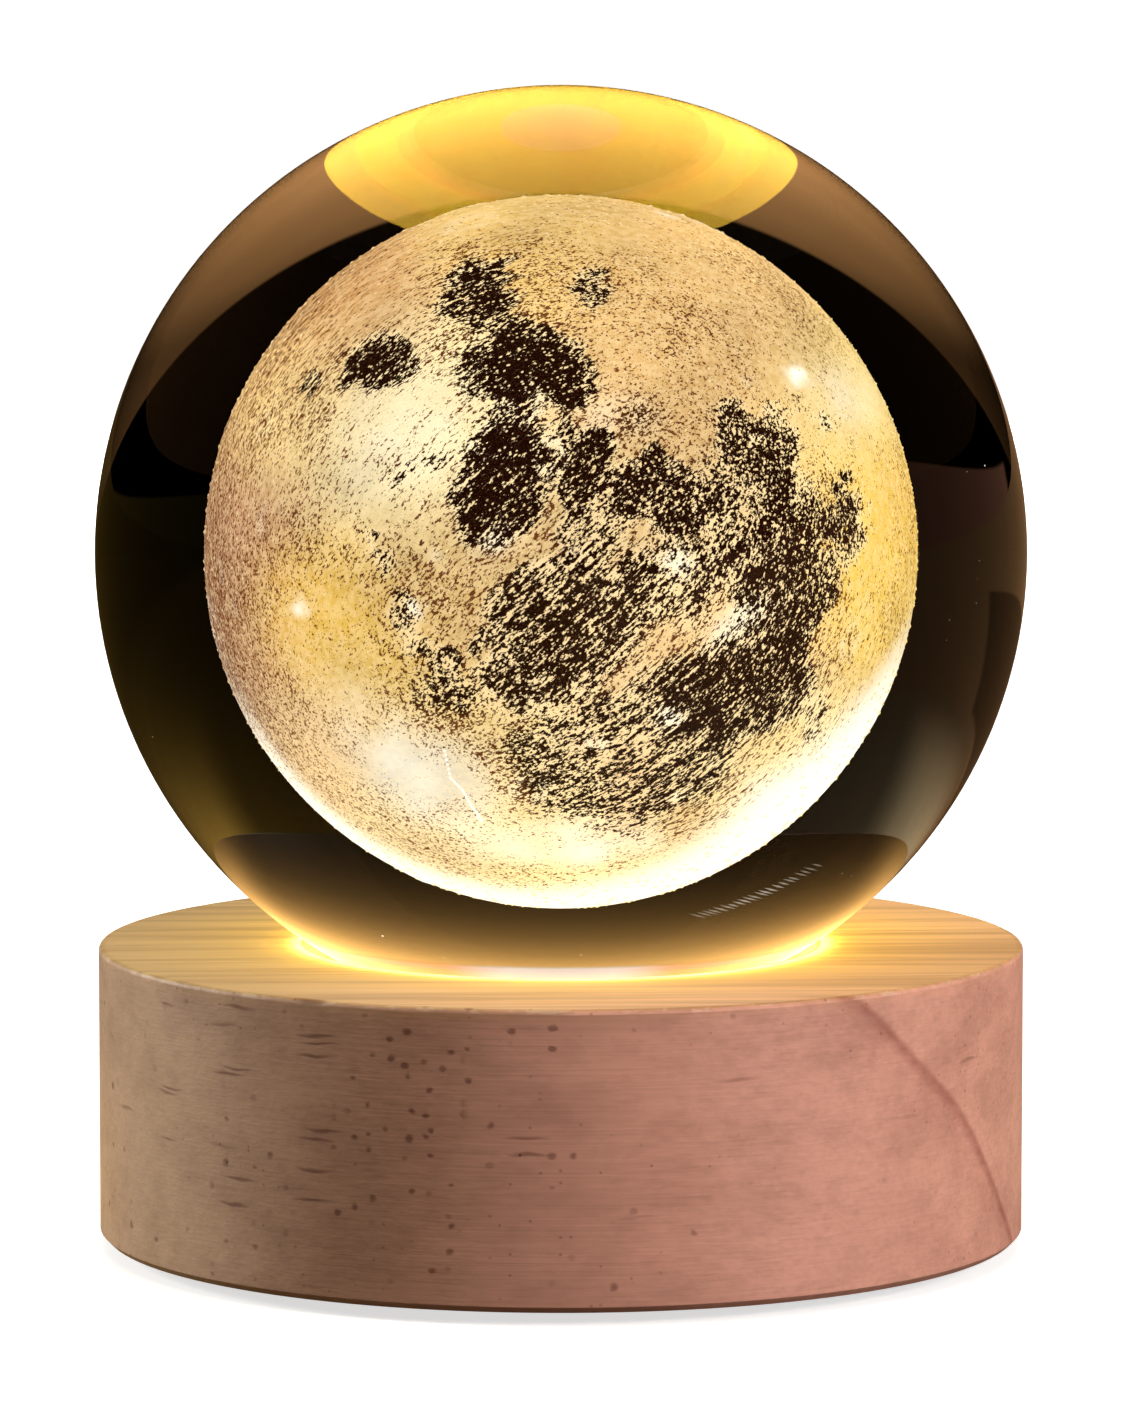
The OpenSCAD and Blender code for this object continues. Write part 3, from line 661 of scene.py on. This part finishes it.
def paintMoon(mesh, look):
    count = len(mesh.vertices)
    places = np.zeros(count * 3)
    mesh.vertices.foreach_get("co", places)
    offsets = places.reshape(-1, 3) - np.array(ballMiddle)
    directions = offsets / np.linalg.norm(offsets, axis=1)[:, None]
    right, up, reach = seenFrom(directions)
    # the seas' shores are ragged, and lie along the slant
    swing = cloud(directions, 11, 1) * 0.022 + cloud(directions, 26, 2) * 0.016 + cloud(directions, 60, 3) * 0.010
    lean = cloud(directions, 9, 4) * 0.018 + cloud(directions, 34, 5) * 0.012
    warpedRight = right + swing * 0.8 + lean * 0.4
    warpedUp = up + swing * 0.7 - lean * 0.5
    sea = seaDepth(directions, warpedRight, warpedUp)
    tone = uplandTone(directions, right, up, look)
    lift, front = lampLight(directions, right, up, reach)
    # how many grains are dark, and how dark they are
    limb = front / (1 + np.exp((right + 0.80) / 0.06))
    dark = 0.295 + 0.20 * limb + 0.58 * sea + 0.05 * cloud(directions, 14, 9) + 0.03 * cloud(directions, 40, 10)
    for spot in calmSpots:
        dark -= spot[5] * patch(warpedRight, warpedUp, spot, 0.20)
    deep = 0.30 + 0.70 * np.clip(sea * 1.6, 0, 1)
    relief = -look["relief"] * np.clip(sea * 1.2, 0, 1)
    relief, lift, dark = addCraters(directions, look, relief, lift, dark)
    offsets = directions * (moonRadius - look["sunk"] + np.minimum(relief, look["highest"]))[:, None]
    mesh.vertices.foreach_set("co", (offsets + np.array(ballMiddle)).ravel())
    opaque = np.ones((count, 1))
    layers = (("tone", tone), ("share", np.stack((dark, deep, lift), axis=1)))
    for name, values in layers:
        layer = mesh.attributes.new(name, "FLOAT_COLOR", "POINT")
        layer.data.foreach_set("color", np.hstack((np.clip(values, 0, 1), opaque)).ravel())
    chance = mesh.attributes.new("dots", "FLOAT", "POINT")
    chance.data.foreach_set("value", np.clip(1.05 - sea * 0.75, 0.1, 1))
    mesh.update()


def moonFinish(look):
    moon = Finish("engraved_dots")
    tone = moon.painted("tone")
    parts = moon.node("SeparateColor", None, {0: moon.painted("share")}).socket.node.outputs
    dark, deep, lift = [Sock(moon, part) for part in parts]
    turn = (0, look["slant"], 0)
    long, wide, thick = look["grain"]
    grain = moon.noise(look["grain"], 3.0, 0.65, turn=turn)
    fine = moon.noise((long * 0.4, wide * 0.5, thick * 0.5), 1.0, turn=turn)
    coarse = moon.noise((long * 3.5, wide * 3, thick * 3), 2.0, 0.6, turn=turn)
    patchy = moon.noise((1.6, 1, 1), 3.0, 0.6, turn=turn)
    hatch = moon.noise(look["hatch"], 1.0, turn=turn)
    scored = deep * 0.26 + 0.06
    level = moon.step((grain * 0.78 + coarse * 0.22) * (1.0 - scored) + hatch * scored, 0.34, 0.66)
    wanted = dark + (patchy - 0.5) * 0.9 * (deep - 0.2) + (coarse - 0.5) * 0.35 - lift * 0.42
    glints, glintChance = moon.cells(moon.sized(look["glint"], turn))
    sparkle = moon.step(glints, 0.34, 0.20) * moon.step(glintChance, 0.58, 0.70)
    speck = moon.step(wanted - level, -0.07, 0.09) * (1.0 - sparkle * 0.85)
    gleam = moon.mix(moon.step(fine, 0.50, 0.68), look["seaGrain"], look["seaGleam"])
    grainColour = moon.mix(moon.step(deep, 0.35, 0.8), look["landGrain"], gleam)
    shadowed = moon.mix(moon.step(fine, 0.62, 0.44) * 0.30, tone, look["uplandShadow"])
    land = moon.mix(moon.step(coarse, 0.35, 0.65) * 0.28, shadowed, look["seaSpark"])
    land = moon.mix(moon.step(deep, 0.5, 0.9) * 0.6, land, look["seaSpark"])
    land = moon.mix(lift, land, look["lampSide"])
    flecks = moon.mix(moon.step(lift, 0.45, 0.95) * (1.0 - deep) * 1.1, grainColour, look["lampSideGrain"])
    face = moon.mix(speck, land, flecks)
    # painted light: the moon glows by emission, standing for the seat's light that the engraving scatters
    return moon.closeLit(face, 0.90, look["strength"])


moonMesh = ballMesh("moon_face", moonRadius, ballMiddle, moonLook["subdivisions"])
paintMoon(moonMesh, moonLook)
addPiece("moon_face", moonMesh, moonFinish(moonLook), "ball", "engraved_dots", "engraved_moon")
print("moon done")


# Engraved dots that stand out of the moon's face, as slim grains along one slant. Sizes are in m, and perArea is the
# most dots in a square metre.

dotLook = {"perArea": 5.6e6, "long": 0.00011, "wide": 0.00005, "seed": 5, "depth": 0.00009}


def dotTree():
    tree = bpy.data.node_groups.new("engraved_grains", "GeometryNodeTree")
    face = tree.interface
    face.new_socket("Geometry", in_out="INPUT", socket_type="NodeSocketGeometry")
    for name, kind in (("Dots per Area", "Float"), ("Dot Length", "Float"), ("Dot Width", "Float"),
                       ("Depth", "Float"), ("Slant", "Vector"), ("Seed", "Int"), ("Material", "Material")):
        face.new_socket(name, in_out="INPUT", socket_type="NodeSocket" + kind)
    face.new_socket("Geometry", in_out="OUTPUT", socket_type="NodeSocketGeometry")

    def add(kind, values=None, **settings):
        made = tree.nodes.new(kind)
        made.location = (200 * len(tree.nodes), 0)
        for key, setting in settings.items():
            setattr(made, key, setting)
        for key, value in (values or {}).items():
            if isinstance(value, bpy.types.NodeSocket):
                tree.links.new(value, made.inputs[key])
            else:
                made.inputs[key].default_value = value
        return made

    given = add("NodeGroupInput").outputs
    share = add("GeometryNodeInputNamedAttribute", {"Name": "dots"}, data_type="FLOAT")
    density = add("ShaderNodeMath", {0: given["Dots per Area"], 1: share.outputs["Attribute"]}, operation="MULTIPLY")
    spread = add("GeometryNodeDistributePointsOnFaces",
                 {"Mesh": given["Geometry"], "Density": density.outputs[0], "Seed": given["Seed"]})
    sink = add("FunctionNodeRandomValue", {"Min": -1.0, "Max": 0.0, "Seed": given["Seed"]}, data_type="FLOAT")
    depth = add("ShaderNodeMath", {0: sink.outputs["Value"], 1: given["Depth"]}, operation="MULTIPLY")
    offset = add("ShaderNodeVectorMath", {0: spread.outputs["Normal"], "Scale": depth.outputs[0]}, operation="SCALE")
    moved = add("GeometryNodeSetPosition", {"Geometry": spread.outputs["Points"], "Offset": offset.outputs[0]})
    along = add("FunctionNodeAlignRotationToVector",
                {"Rotation": spread.outputs["Rotation"], "Vector": given["Slant"]}, axis="X", pivot_axis="Z")
    grain = add("GeometryNodeMeshUVSphere", {"Segments": 4, "Rings": 2, "Radius": 1.0})
    size = add("ShaderNodeCombineXYZ", {0: given["Dot Length"], 1: given["Dot Width"], 2: given["Dot Width"]})
    chance = add("FunctionNodeRandomValue", {"Min": 0.6, "Max": 1.3, "Seed": given["Seed"]}, data_type="FLOAT")
    scale = add("ShaderNodeVectorMath", {0: size.outputs[0], "Scale": chance.outputs["Value"]}, operation="SCALE")
    placed = add("GeometryNodeInstanceOnPoints",
                 {"Points": moved.outputs[0], "Instance": grain.outputs["Mesh"],
                  "Rotation": along.outputs[0], "Scale": scale.outputs[0]})
    real = add("GeometryNodeRealizeInstances", {0: placed.outputs[0]})
    dressed = add("GeometryNodeSetMaterial", {"Geometry": real.outputs[0], "Material": given["Material"]})
    add("NodeGroupOutput", {0: dressed.outputs[0]})
    return tree


def growDots(look, mesh, material):
    carrier = put("dot_carrier", mesh)
    modifier = carrier.modifiers.new("grains", "NODES")
    modifier.node_group = dotTree()
    slant = moonLook["slant"]
    values = {"Dots per Area": look["perArea"], "Dot Length": look["long"], "Dot Width": look["wide"],
              "Depth": look["depth"], "Slant": (math.cos(slant), 0.0, -math.sin(slant)),
              "Seed": look["seed"], "Material": material}
    for item in modifier.node_group.interface.items_tree:
        if item.in_out == "INPUT" and item.name in values:
            modifier[item.identifier] = values[item.name]
    view = bpy.context.evaluated_depsgraph_get()
    view.update()
    grown = bpy.data.meshes.new_from_object(carrier.evaluated_get(view), depsgraph=view)
    carrier.modifiers.remove(modifier)
    bpy.data.objects.remove(carrier)
    return grown


def dotFinish():
    dots = Finish("engraved_grains")
    tone = dots.painted("tone")
    glint = dots.noise(0.23, 1.0)
    colour = dots.mix(dots.step(glint, 0.35, 0.65) * 0.6, tone, moonLook["seaSpark"])
    # painted light: the dots glow by emission, like the moon's face
    return dots.closeLit(colour, 0.85, moonLook["strength"])


grainFinish = dotFinish()
grains = addPiece("moon_dots", growDots(dotLook, moonMesh, grainFinish), grainFinish, "ball", "engraved_dots")
print("engraved dots done, %d faces" % len(grains.data.polygons))


# Stray marks in the glass. Places are given as the front view shows them: right and up from the ball's middle, with 1
# at its edge, then the length and width in mm, the slant in degrees and the brightness.

strayLook = {
    "share": 0.985,  # how far out in the ball they lie
    "colour": (1.0, 0.94, 0.80, 1.0),
    "strength": 1.2,
    "crack": (0.26, 0.22),  # one step's length and width, mm
    "ribs": 22,
    "ribLength": (1.0, 0.5),  # the shortest, and how much more the longest has, mm
    "ribWidth": 0.14,
    "seed": 3,
}
straySpecks = (
    (0.899, 0.183, 0.16, 0.13, 0, 1.0),
    (0.862, 0.17, 0.08, 0.08, 0, 0.3),
    (0.888, -0.019, 0.09, 0.08, 0, 0.35),
    (0.884, -0.057, 0.07, 0.07, 0, 0.3),
    (0.882, -0.109, 0.07, 0.07, 0, 0.3),
    (0.826, -0.145, 0.08, 0.06, 0, 0.3),
    (0.819, -0.188, 0.06, 0.06, 0, 0.25),
    (0.597, -0.683, 0.09, 0.07, 0, 0.5),
    (0.616, -0.687, 0.08, 0.06, 0, 0.4),
    (-0.379, -0.816, 0.22, 0.16, 10, 1.0),
    (0.043, -0.857, 0.1, 0.08, 0, 1.0),
    (-0.248, -0.862, 0.12, 0.07, 20, 1.0),
    (-0.238, -0.876, 0.08, 0.07, 0, 0.9),
    (-0.147, -0.88, 0.14, 0.06, 0, 0.9),
    (0.512, 0.37, 0.12, 0.12, 0, 1.0),
    (-0.866, -0.392, 0.1, 0.08, 40, 0.5),
    (-0.285, -0.116, 0.09, 0.09, 0, 1.0),
)
# The crack in the moon's face, as points right and up from the ball's middle
crackPath = ((-0.248, -0.424), (-0.236, -0.482), (-0.21, -0.508), (-0.193, -0.538), (-0.18, -0.556), (-0.167, -0.577))
# The row of short ribs in the glass: its ends, and the slant of a rib in degrees
ribRow = ((0.285, -0.776), (0.548, -0.664), -27)


def onBall(right, up, share):
    # the place at that share of the ball's radius which the camera sees there
    towards = camera.location - ballMiddle
    distance = towards.length
    towards.normalize()
    sideways = Vector((1, 0, 0))
    upward = towards.cross(sideways)
    edge = ballRadius / math.sqrt(distance ** 2 - ballRadius ** 2)
    line = (-towards + (sideways * right + upward * up) * edge).normalized()
    reach = line.dot(ballMiddle - camera.location)
    gap = (share * ballRadius) ** 2 - (distance ** 2 - reach ** 2)
    return camera.location + line * (reach - math.sqrt(max(gap, 0)))


def addMark(shell, layer, place, long, wide, slant, light):
    # one slim octahedron in the picture's plane
    a = math.radians(slant)
    along = Vector((math.cos(a), 0, math.sin(a))) * long / 2000
    across = Vector((-math.sin(a), 0, math.cos(a))) * wide / 2000
    through = Vector((0, 1, 0)) * wide / 2000
    tips = [shell.verts.new(place + step) for step in (along, -along, across, -across, through, -through)]
    for tip in tips:
        tip[layer] = light
    for i, j, k in ((0, 2, 5), (2, 1, 5), (1, 3, 5), (3, 0, 5), (2, 0, 4), (1, 2, 4), (3, 1, 4), (0, 3, 4)):
        shell.faces.new((tips[i], tips[j], tips[k]))


def strayMesh(look):
    shell = bmesh.new()
    layer = shell.verts.layers.float.new("light")
    rng = np.random.default_rng(look["seed"])
    stepLength, stepWidth = look["crack"]
    shortest, more = look["ribLength"]
    for right, up, long, wide, slant, light in straySpecks:
        addMark(shell, layer, onBall(right, up, look["share"]), long, wide, slant, light)
    for (x0, y0), (x1, y1) in zip(crackPath, crackPath[1:]):
        for t in np.linspace(0, 1, 7)[:-1]:
            slant = math.degrees(math.atan2(y1 - y0, x1 - x0))
            place = onBall(x0 + (x1 - x0) * t, y0 + (y1 - y0) * t, look["share"])
            addMark(shell, layer, place, stepLength, stepWidth, slant, 1.0)
    (x0, y0), (x1, y1), slant = ribRow
    for number in range(look["ribs"]):
        t = (number + 0.5 + 0.4 * rng.random()) / look["ribs"]
        bow = 4 * t * (1 - t) * -0.012
        place = onBall(x0 + (x1 - x0) * t, y0 + (y1 - y0) * t + bow, look["share"])
        light = 0.07 + 0.18 * math.exp(-((t - 0.45) / 0.3) ** 2) * (0.5 + rng.random())
        addMark(shell, layer, place, shortest + more * rng.random(), look["ribWidth"], slant, light)
    bmesh.ops.recalc_face_normals(shell, faces=shell.faces)
    return meshFrom(shell, "stray_marks")


def strayFinish(look):
    stray = Finish("stray_marks")
    light = stray.painted("light", out="Fac")
    patchy = stray.noise(0.2, 1.0)
    # painted light: the marks glow by emission, standing for the lamp's light they catch
    return stray.close({
        "Base Color": stray.mix(patchy * 0.2, shade(90, 84, 74), shade(60, 56, 50)),
        "Roughness": 0.8,
        "Emission Color": stray.mix(light * (patchy * 0.4 + 0.8), black, look["colour"]),
        "Emission Strength": look["strength"],
    })


addPiece("stray_marks", strayMesh(strayLook), strayFinish(strayLook), "ball", "engraved_dots")
print("stray marks done")


# Lit seat under the ball

glowLook = {
    # colours of the light as they leave the surface, and how strong it is
    "ring": ((1.0, 0.64, 0.05, 1.0), (1.0, 0.58, 0.03, 1.0), 7.5),
    "diffuser": ((1.0, 0.60, 0.05, 1.0), (1.0, 0.50, 0.07, 1.0), 4.6),
    "cup": ((1.0, 0.66, 0.03, 1.0), (1.0, 0.60, 0.02, 1.0), 5.2),
    "lampLitPlastic": shade(242, 200, 84),  # painted light: the pale plastic, painted yellow with the lamps' light in it
}


def litFinish(name, colours, base, roughness):
    lit = Finish(name)
    x, y, _ = lit.split(lit.sized(1))
    uneven = lit.noise((7, 3, 7))
    grit = lit.noise(0.4)
    glow = lit.mix(lit.step(uneven, 0.35, 0.65), colours[0], colours[1])
    _, glassy, through = lit.rays()
    # painted reflection: the glare that the ball's outside mirrors of the seat
    glare = lit.mix(frontSpot(lit, x, y), *woodLook["glare"])
    glow = lit.mix(glassy * (1.0 - through) * 0.9, glow, glare)
    return lit.close({
        "Base Color": lit.mix(grit * 0.15, base, colours[1]),
        "Roughness": lit.step(grit, 0.3, 0.7, roughness - 0.05, roughness + 0.05),
        "Normal": lit.bump(grit, 0.00003, 0.5),
        "Emission Color": lit.mix((1.0 - glassy) * 0.88, glow, black),  # full only through the glass
        "Emission Strength": colours[2],
    })


dress("seat_ring", litFinish("lit_silicone", glowLook["ring"], glowLook["lampLitPlastic"], 0.4))
dress("diffuser_disc", litFinish("lit_diffuser", glowLook["diffuser"], glowLook["lampLitPlastic"], 0.45))
dress("light_cup", litFinish("lit_cup", glowLook["cup"], glowLook["lampLitPlastic"], 0.4))
print("lit seat done")


# Small parts inside, below and at the back, by the name of their material in the solids

plasticLooks = {
    # colour, the same where it is worn, roughness, depth of the surface's texture in mm
    "led_plastic": (shade(240, 240, 234), shade(226, 224, 214), 0.38, 0.01),
    "black_part": (shade(30, 30, 32), shade(44, 44, 46), 0.50, 0.01),
    "red_wire": (shade(178, 28, 22), shade(150, 22, 20), 0.35, 0.01),
    "black_wire": (shade(22, 22, 24), shade(34, 34, 36), 0.35, 0.01),
    "ivory_plastic": (shade(228, 222, 200), shade(212, 204, 180), 0.42, 0.01),
    "button_plastic": (shade(226, 221, 210), shade(210, 204, 192), 0.30, 0.005),
    "dark_plastic": (shade(46, 46, 48), shade(58, 58, 60), 0.55, 0.03),
    "foot_rubber": (shade(40, 40, 42), shade(56, 54, 52), 0.85, 0.03),
}
metalLooks = {
    # colour, dulled colour, roughness
    "steel": (shade(200, 200, 204), shade(168, 168, 172), 0.30),
    "solder": (shade(206, 206, 210), shade(176, 176, 180), 0.24),
    "gold_plate": (shade(232, 196, 110), shade(206, 166, 84), 0.22),
}
boardLooks = {
    # solder mask, the same over copper, mm from one copper track to the next
    "white_board": (shade(238, 240, 236), shade(222, 226, 222), 2.1),
    "green_board": (shade(24, 92, 48), shade(38, 120, 64), 0.9),
}


def plasticFinish(name, look):
    plastic = Finish(name)
    colour, worn, roughness, depth = look
    texture = plastic.noise(0.22)
    wear = plastic.noise(4, 3.0)
    return plastic.close({
        "Base Color": plastic.mix(plastic.step(wear, 0.45, 0.70) * 0.6, colour, worn),
        "Roughness": plastic.step(wear, 0.3, 0.7, roughness - 0.06, roughness + 0.08),
        "Normal": plastic.bump(texture, depth / 1000, 0.7),
    })


def metalFinish(name, look):
    metal = Finish(name)
    colour, dull, roughness = look
    scratches = metal.noise((3, 0.08, 0.12), turn=(0, 0, 0.6))
    stain = metal.noise(1.8, 3.0)
    return metal.close({
        "Base Color": metal.mix(metal.step(stain, 0.40, 0.70), colour, dull),
        "Metallic": 1.0,
        "Roughness": metal.step(scratches, 0.3, 0.7, roughness - 0.08, roughness + 0.10),
        "Normal": metal.bump(scratches, 0.000006, 0.5),
    })


def boardFinish(name, look):
    board = Finish(name)
    mask, overCopper, pitch = look
    x, y, _ = board.split(board.sized((pitch, pitch, 1000)))
    wander = board.noise(4, 1.0) * 1.6
    stripe = board.node("Math", {"operation": "PINGPONG"}, {0: x + wander + y * 0.3, 1: 0.5})
    copper = board.step(stripe, 0.30, 0.33)
    weave = board.noise(0.3, 1.0)
    return board.close({
        "Base Color": board.mix(copper * 0.8 + weave * 0.1, mask, overCopper),
        "Roughness": board.step(weave, 0.3, 0.7, 0.28, 0.40),
        "Normal": board.bump(copper, 0.00003, 0.6),
    })


def phosphorFinish(name):
    phosphor = Finish(name)
    grains = phosphor.noise(0.12)
    return phosphor.close({
        "Base Color": phosphor.mix(grains * 0.3, shade(246, 208, 92), shade(226, 178, 60)),
        "Roughness": 0.6,
        "Normal": phosphor.bump(grains, 0.00002, 0.6),
        "Emission Color": phosphor.mix(grains, (1.0, 0.74, 0.28, 1.0), (1.0, 0.80, 0.40, 1.0)),
        "Emission Strength": 4.0,
    })


finishes = {name: plasticFinish(name + "_finish", look) for name, look in plasticLooks.items()}
finishes.update({name: metalFinish(name + "_finish", look) for name, look in metalLooks.items()})
finishes.update({name: boardFinish(name + "_finish", look) for name, look in boardLooks.items()})
finishes["phosphor"] = phosphorFinish("phosphor_finish")
dressed = 0
for piece in nodes.values():
    for slot in piece.material_slots:
        slotName = slot.material.name.split(".")[0]
        if slotName in finishes:
            slot.material = finishes[slotName]
            dressed += 1
print("small parts done, %d slots" % dressed)


# The switch's spring, which sits between the switch's floor and its plunger, becomes a piece with its own mesh

coilShape = bmesh.new()
coilShape.from_mesh(nodes["switch_spring"].data)
bmesh.ops.remove_doubles(coilShape, verts=coilShape.verts, dist=1e-6)
coilMesh = meshFrom(coilShape, "coil_spring")
coil = addPiece("coil_spring", coilMesh, finishes["steel"], "base", "steel", "switch_spring")
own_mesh(coil)
print("spring done")


# Floor, room and lamps. The camera sees a white room. The photo's ball looks into the dark room that the lamp
# stood in, on a brown table, so refracted and mirrored rays meet those.

roomLook = {
    "floor": shade(226, 224, 220),
    "floorShade": shade(92, 84, 78),  # how the floor lights the lamp from below
    "floorLight": (0.66, 0.95),  # added for the camera, near the lamp and far off, so that the bare floor is white
    "ambient": (0.15, 0.115, 0.092, 1.0),
    "tableBehind": 0.085,  # the table's far edge, m
    "wallRight": (0.225, 0.098, 0.057, 1.0),
    "wallLeft": (0.05, 0.032, 0.006, 1.0),
    "tableRight": ((1.0, 0.74, 0.40, 1.0), (1.0, 0.52, 0.22, 1.0)),  # mirrored: by the lamp and farther out
    "tableLeft": (1.0, 0.58, 0.10, 1.0),
    "tableThrough": (1.0, 0.48, 0.17, 1.0),  # refracted
    "radius": 12.0,  # of the floor, m
}


def floorFinish(look):
    floor = Finish("pale_floor")
    seen, mirrored, through = floor.rays()
    x, y, _ = floor.split(floor.place)
    radius = (x * x + y * y) ** 0.5
    speckle = floor.noise(3)
    grain = floor.noise((200, 12, 12)) * 0.3 + 0.85
    pale = floor.mix(speckle * 0.04, look["floor"], shade(214, 210, 204))
    paint = floor.node("BsdfDiffuse", None, {"Color": floor.mix(seen, look["floorShade"], pale)})
    nearLight, farLight = look["floorLight"]
    white = seen * floor.step(radius, 0.06, 0.5, nearLight, farLight)
    lift = floor.node("Emission", None, {"Color": (1, 1, 1, 1), "Strength": white})
    both = floor.node("AddShader", None, {0: paint, 1: lift})
    # mirrored: a brown table, lit most behind the lamp, which ends in the dark
    rightward = floor.step(x, -0.03, 0.03)
    out = radius - 0.06
    behind = floor.step(y, 0.0, 0.026)
    rightLight = floor.step(radius, 0.112, 0.062) * behind * 0.70 + 0.23
    leftLight = floor.falloff(out, 0.016) * behind * 0.55 + floor.falloff(out, 0.040) * 0.13 + 0.07
    rightTone = floor.mix(floor.step(radius, 0.06, 0.13), *look["tableRight"])
    tone = floor.mix(rightward, look["tableLeft"], rightTone)
    # painted shade: a dark wedge across the mirrored table's lit part
    block = floor.step(y / (x + 0.001), 0.70, 0.78) * floor.step(radius, 0.118, 0.126) * floor.step(radius, 0.36, 0.34)
    rightLight = rightLight * (1.0 - block * 0.6)
    leftLight = leftLight * floor.step(y, 0.16, 0.06, 0.6, 1.0)
    strength = (rightLight * rightward + leftLight * (1.0 - rightward)) * grain
    mirroredTable = floor.node("Emission", None, {"Color": tone, "Strength": strength})
    # refracted: the same table up to its far edge
    near = floor.falloff(out, 0.020) * 0.52 * floor.step(radius, 0.112, 0.084)
    lit = near + 0.035 + floor.step(x, 0.0, 0.10) * 0.04
    lit = lit * floor.step(y, look["tableBehind"], look["tableBehind"] - 0.002)
    table = floor.node("Emission", None, {"Color": look["tableThrough"], "Strength": lit * grain})
    chosen = floor.node("MixShader", None, {0: mirrored, 1: both, 2: mirroredTable})
    chosen = floor.node("MixShader", None, {0: through, 1: chosen, 2: table})
    floor.node("OutputMaterial", None, {"Surface": chosen})
    return floor.owner


def makeRoom(look):
    room = Finish("room", bpy.data.worlds.new("room"))
    seen, mirrored, through = room.rays()
    x, y, z = room.split(room.place)
    away = room.node("Math", {"operation": "ABSOLUTE"}, {0: y})
    rightTop = 0.285 - away * 0.30
    leftTop = 0.178 - away * 0.215
    right = room.step(z - rightTop, 0.004, -0.004) * room.step(x, 0.0, 0.1) * room.step(away, 0.86, 0.83)
    left = room.step(z - leftTop, 0.004, -0.004) * room.step(x, 0.0, -0.1)
    wall = room.mix(right, black, look["wallRight"])
    wall = room.mix(left, wall, look["wallLeft"])
    colour = room.mix(seen, look["ambient"], (1, 1, 1, 1))
    colour = room.mix(mirrored, colour, wall)
    colour = room.mix(through, colour, black)
    room.node("OutputWorld", None, {"Surface": room.node("Background", None, {"Color": colour})})
    bpy.context.scene.world = room.owner


floorShape = bmesh.new()
bmesh.ops.create_circle(floorShape, cap_ends=True, segments=96, radius=roomLook["radius"])
floorMesh = meshFrom(floorShape, "floor")
floorMesh.materials.append(floorFinish(roomLook))
put("floor", floorMesh)
makeRoom(roomLook)

# the lamps light all but the glass, which would show them as spots and throw a shadow that a clear ball doesn't
aroundBall = bpy.data.collections.new("all_but_the_ball")
aroundBall.objects.link(ball)
aroundBall.collection_objects[0].light_linking.link_state = "EXCLUDE"

lampAim = Vector((0, 0, 0.02))
lampSet = (
    # name, degrees right of the camera, degrees up, distance m, size m, watts, colour
    ("lamp_right", 62, 22, 0.60, 0.26, 2.75, (1.0, 0.95, 0.93)),
    ("lamp_left", -108, 18, 0.60, 0.26, 2.7, (0.98, 1.0, 0.96)),
    ("lamp_top", 0, 80, 0.60, 0.40, 1.1, (1.0, 0.92, 0.80)),
    ("lamp_back", 180, 15, 0.70, 0.40, 2.2, (1.0, 0.98, 0.95)),
)
for name, aside, upward, distance, size, watts, colour in lampSet:
    lampData = bpy.data.lights.new(name, "AREA")
    lampData.shape = "DISK"
    lampData.size = size
    lampData.energy = watts
    lampData.color = colour
    lamp = put(name, lampData)
    towards = Vector(direction(aside, upward))
    lamp.location = lampAim + towards * distance
    lamp.rotation_euler = towards.to_track_quat("Z", "Y").to_euler()
    lamp.visible_camera = False
    lamp.visible_glossy = name != "lamp_back"  # its sheen would whiten the wood's top
    lamp.light_linking.receiver_collection = aroundBall
    lamp.light_linking.blocker_collection = aroundBall
print("floor, room and lamps done")


scene = bpy.context.scene
scene.view_settings.view_transform = "Standard"
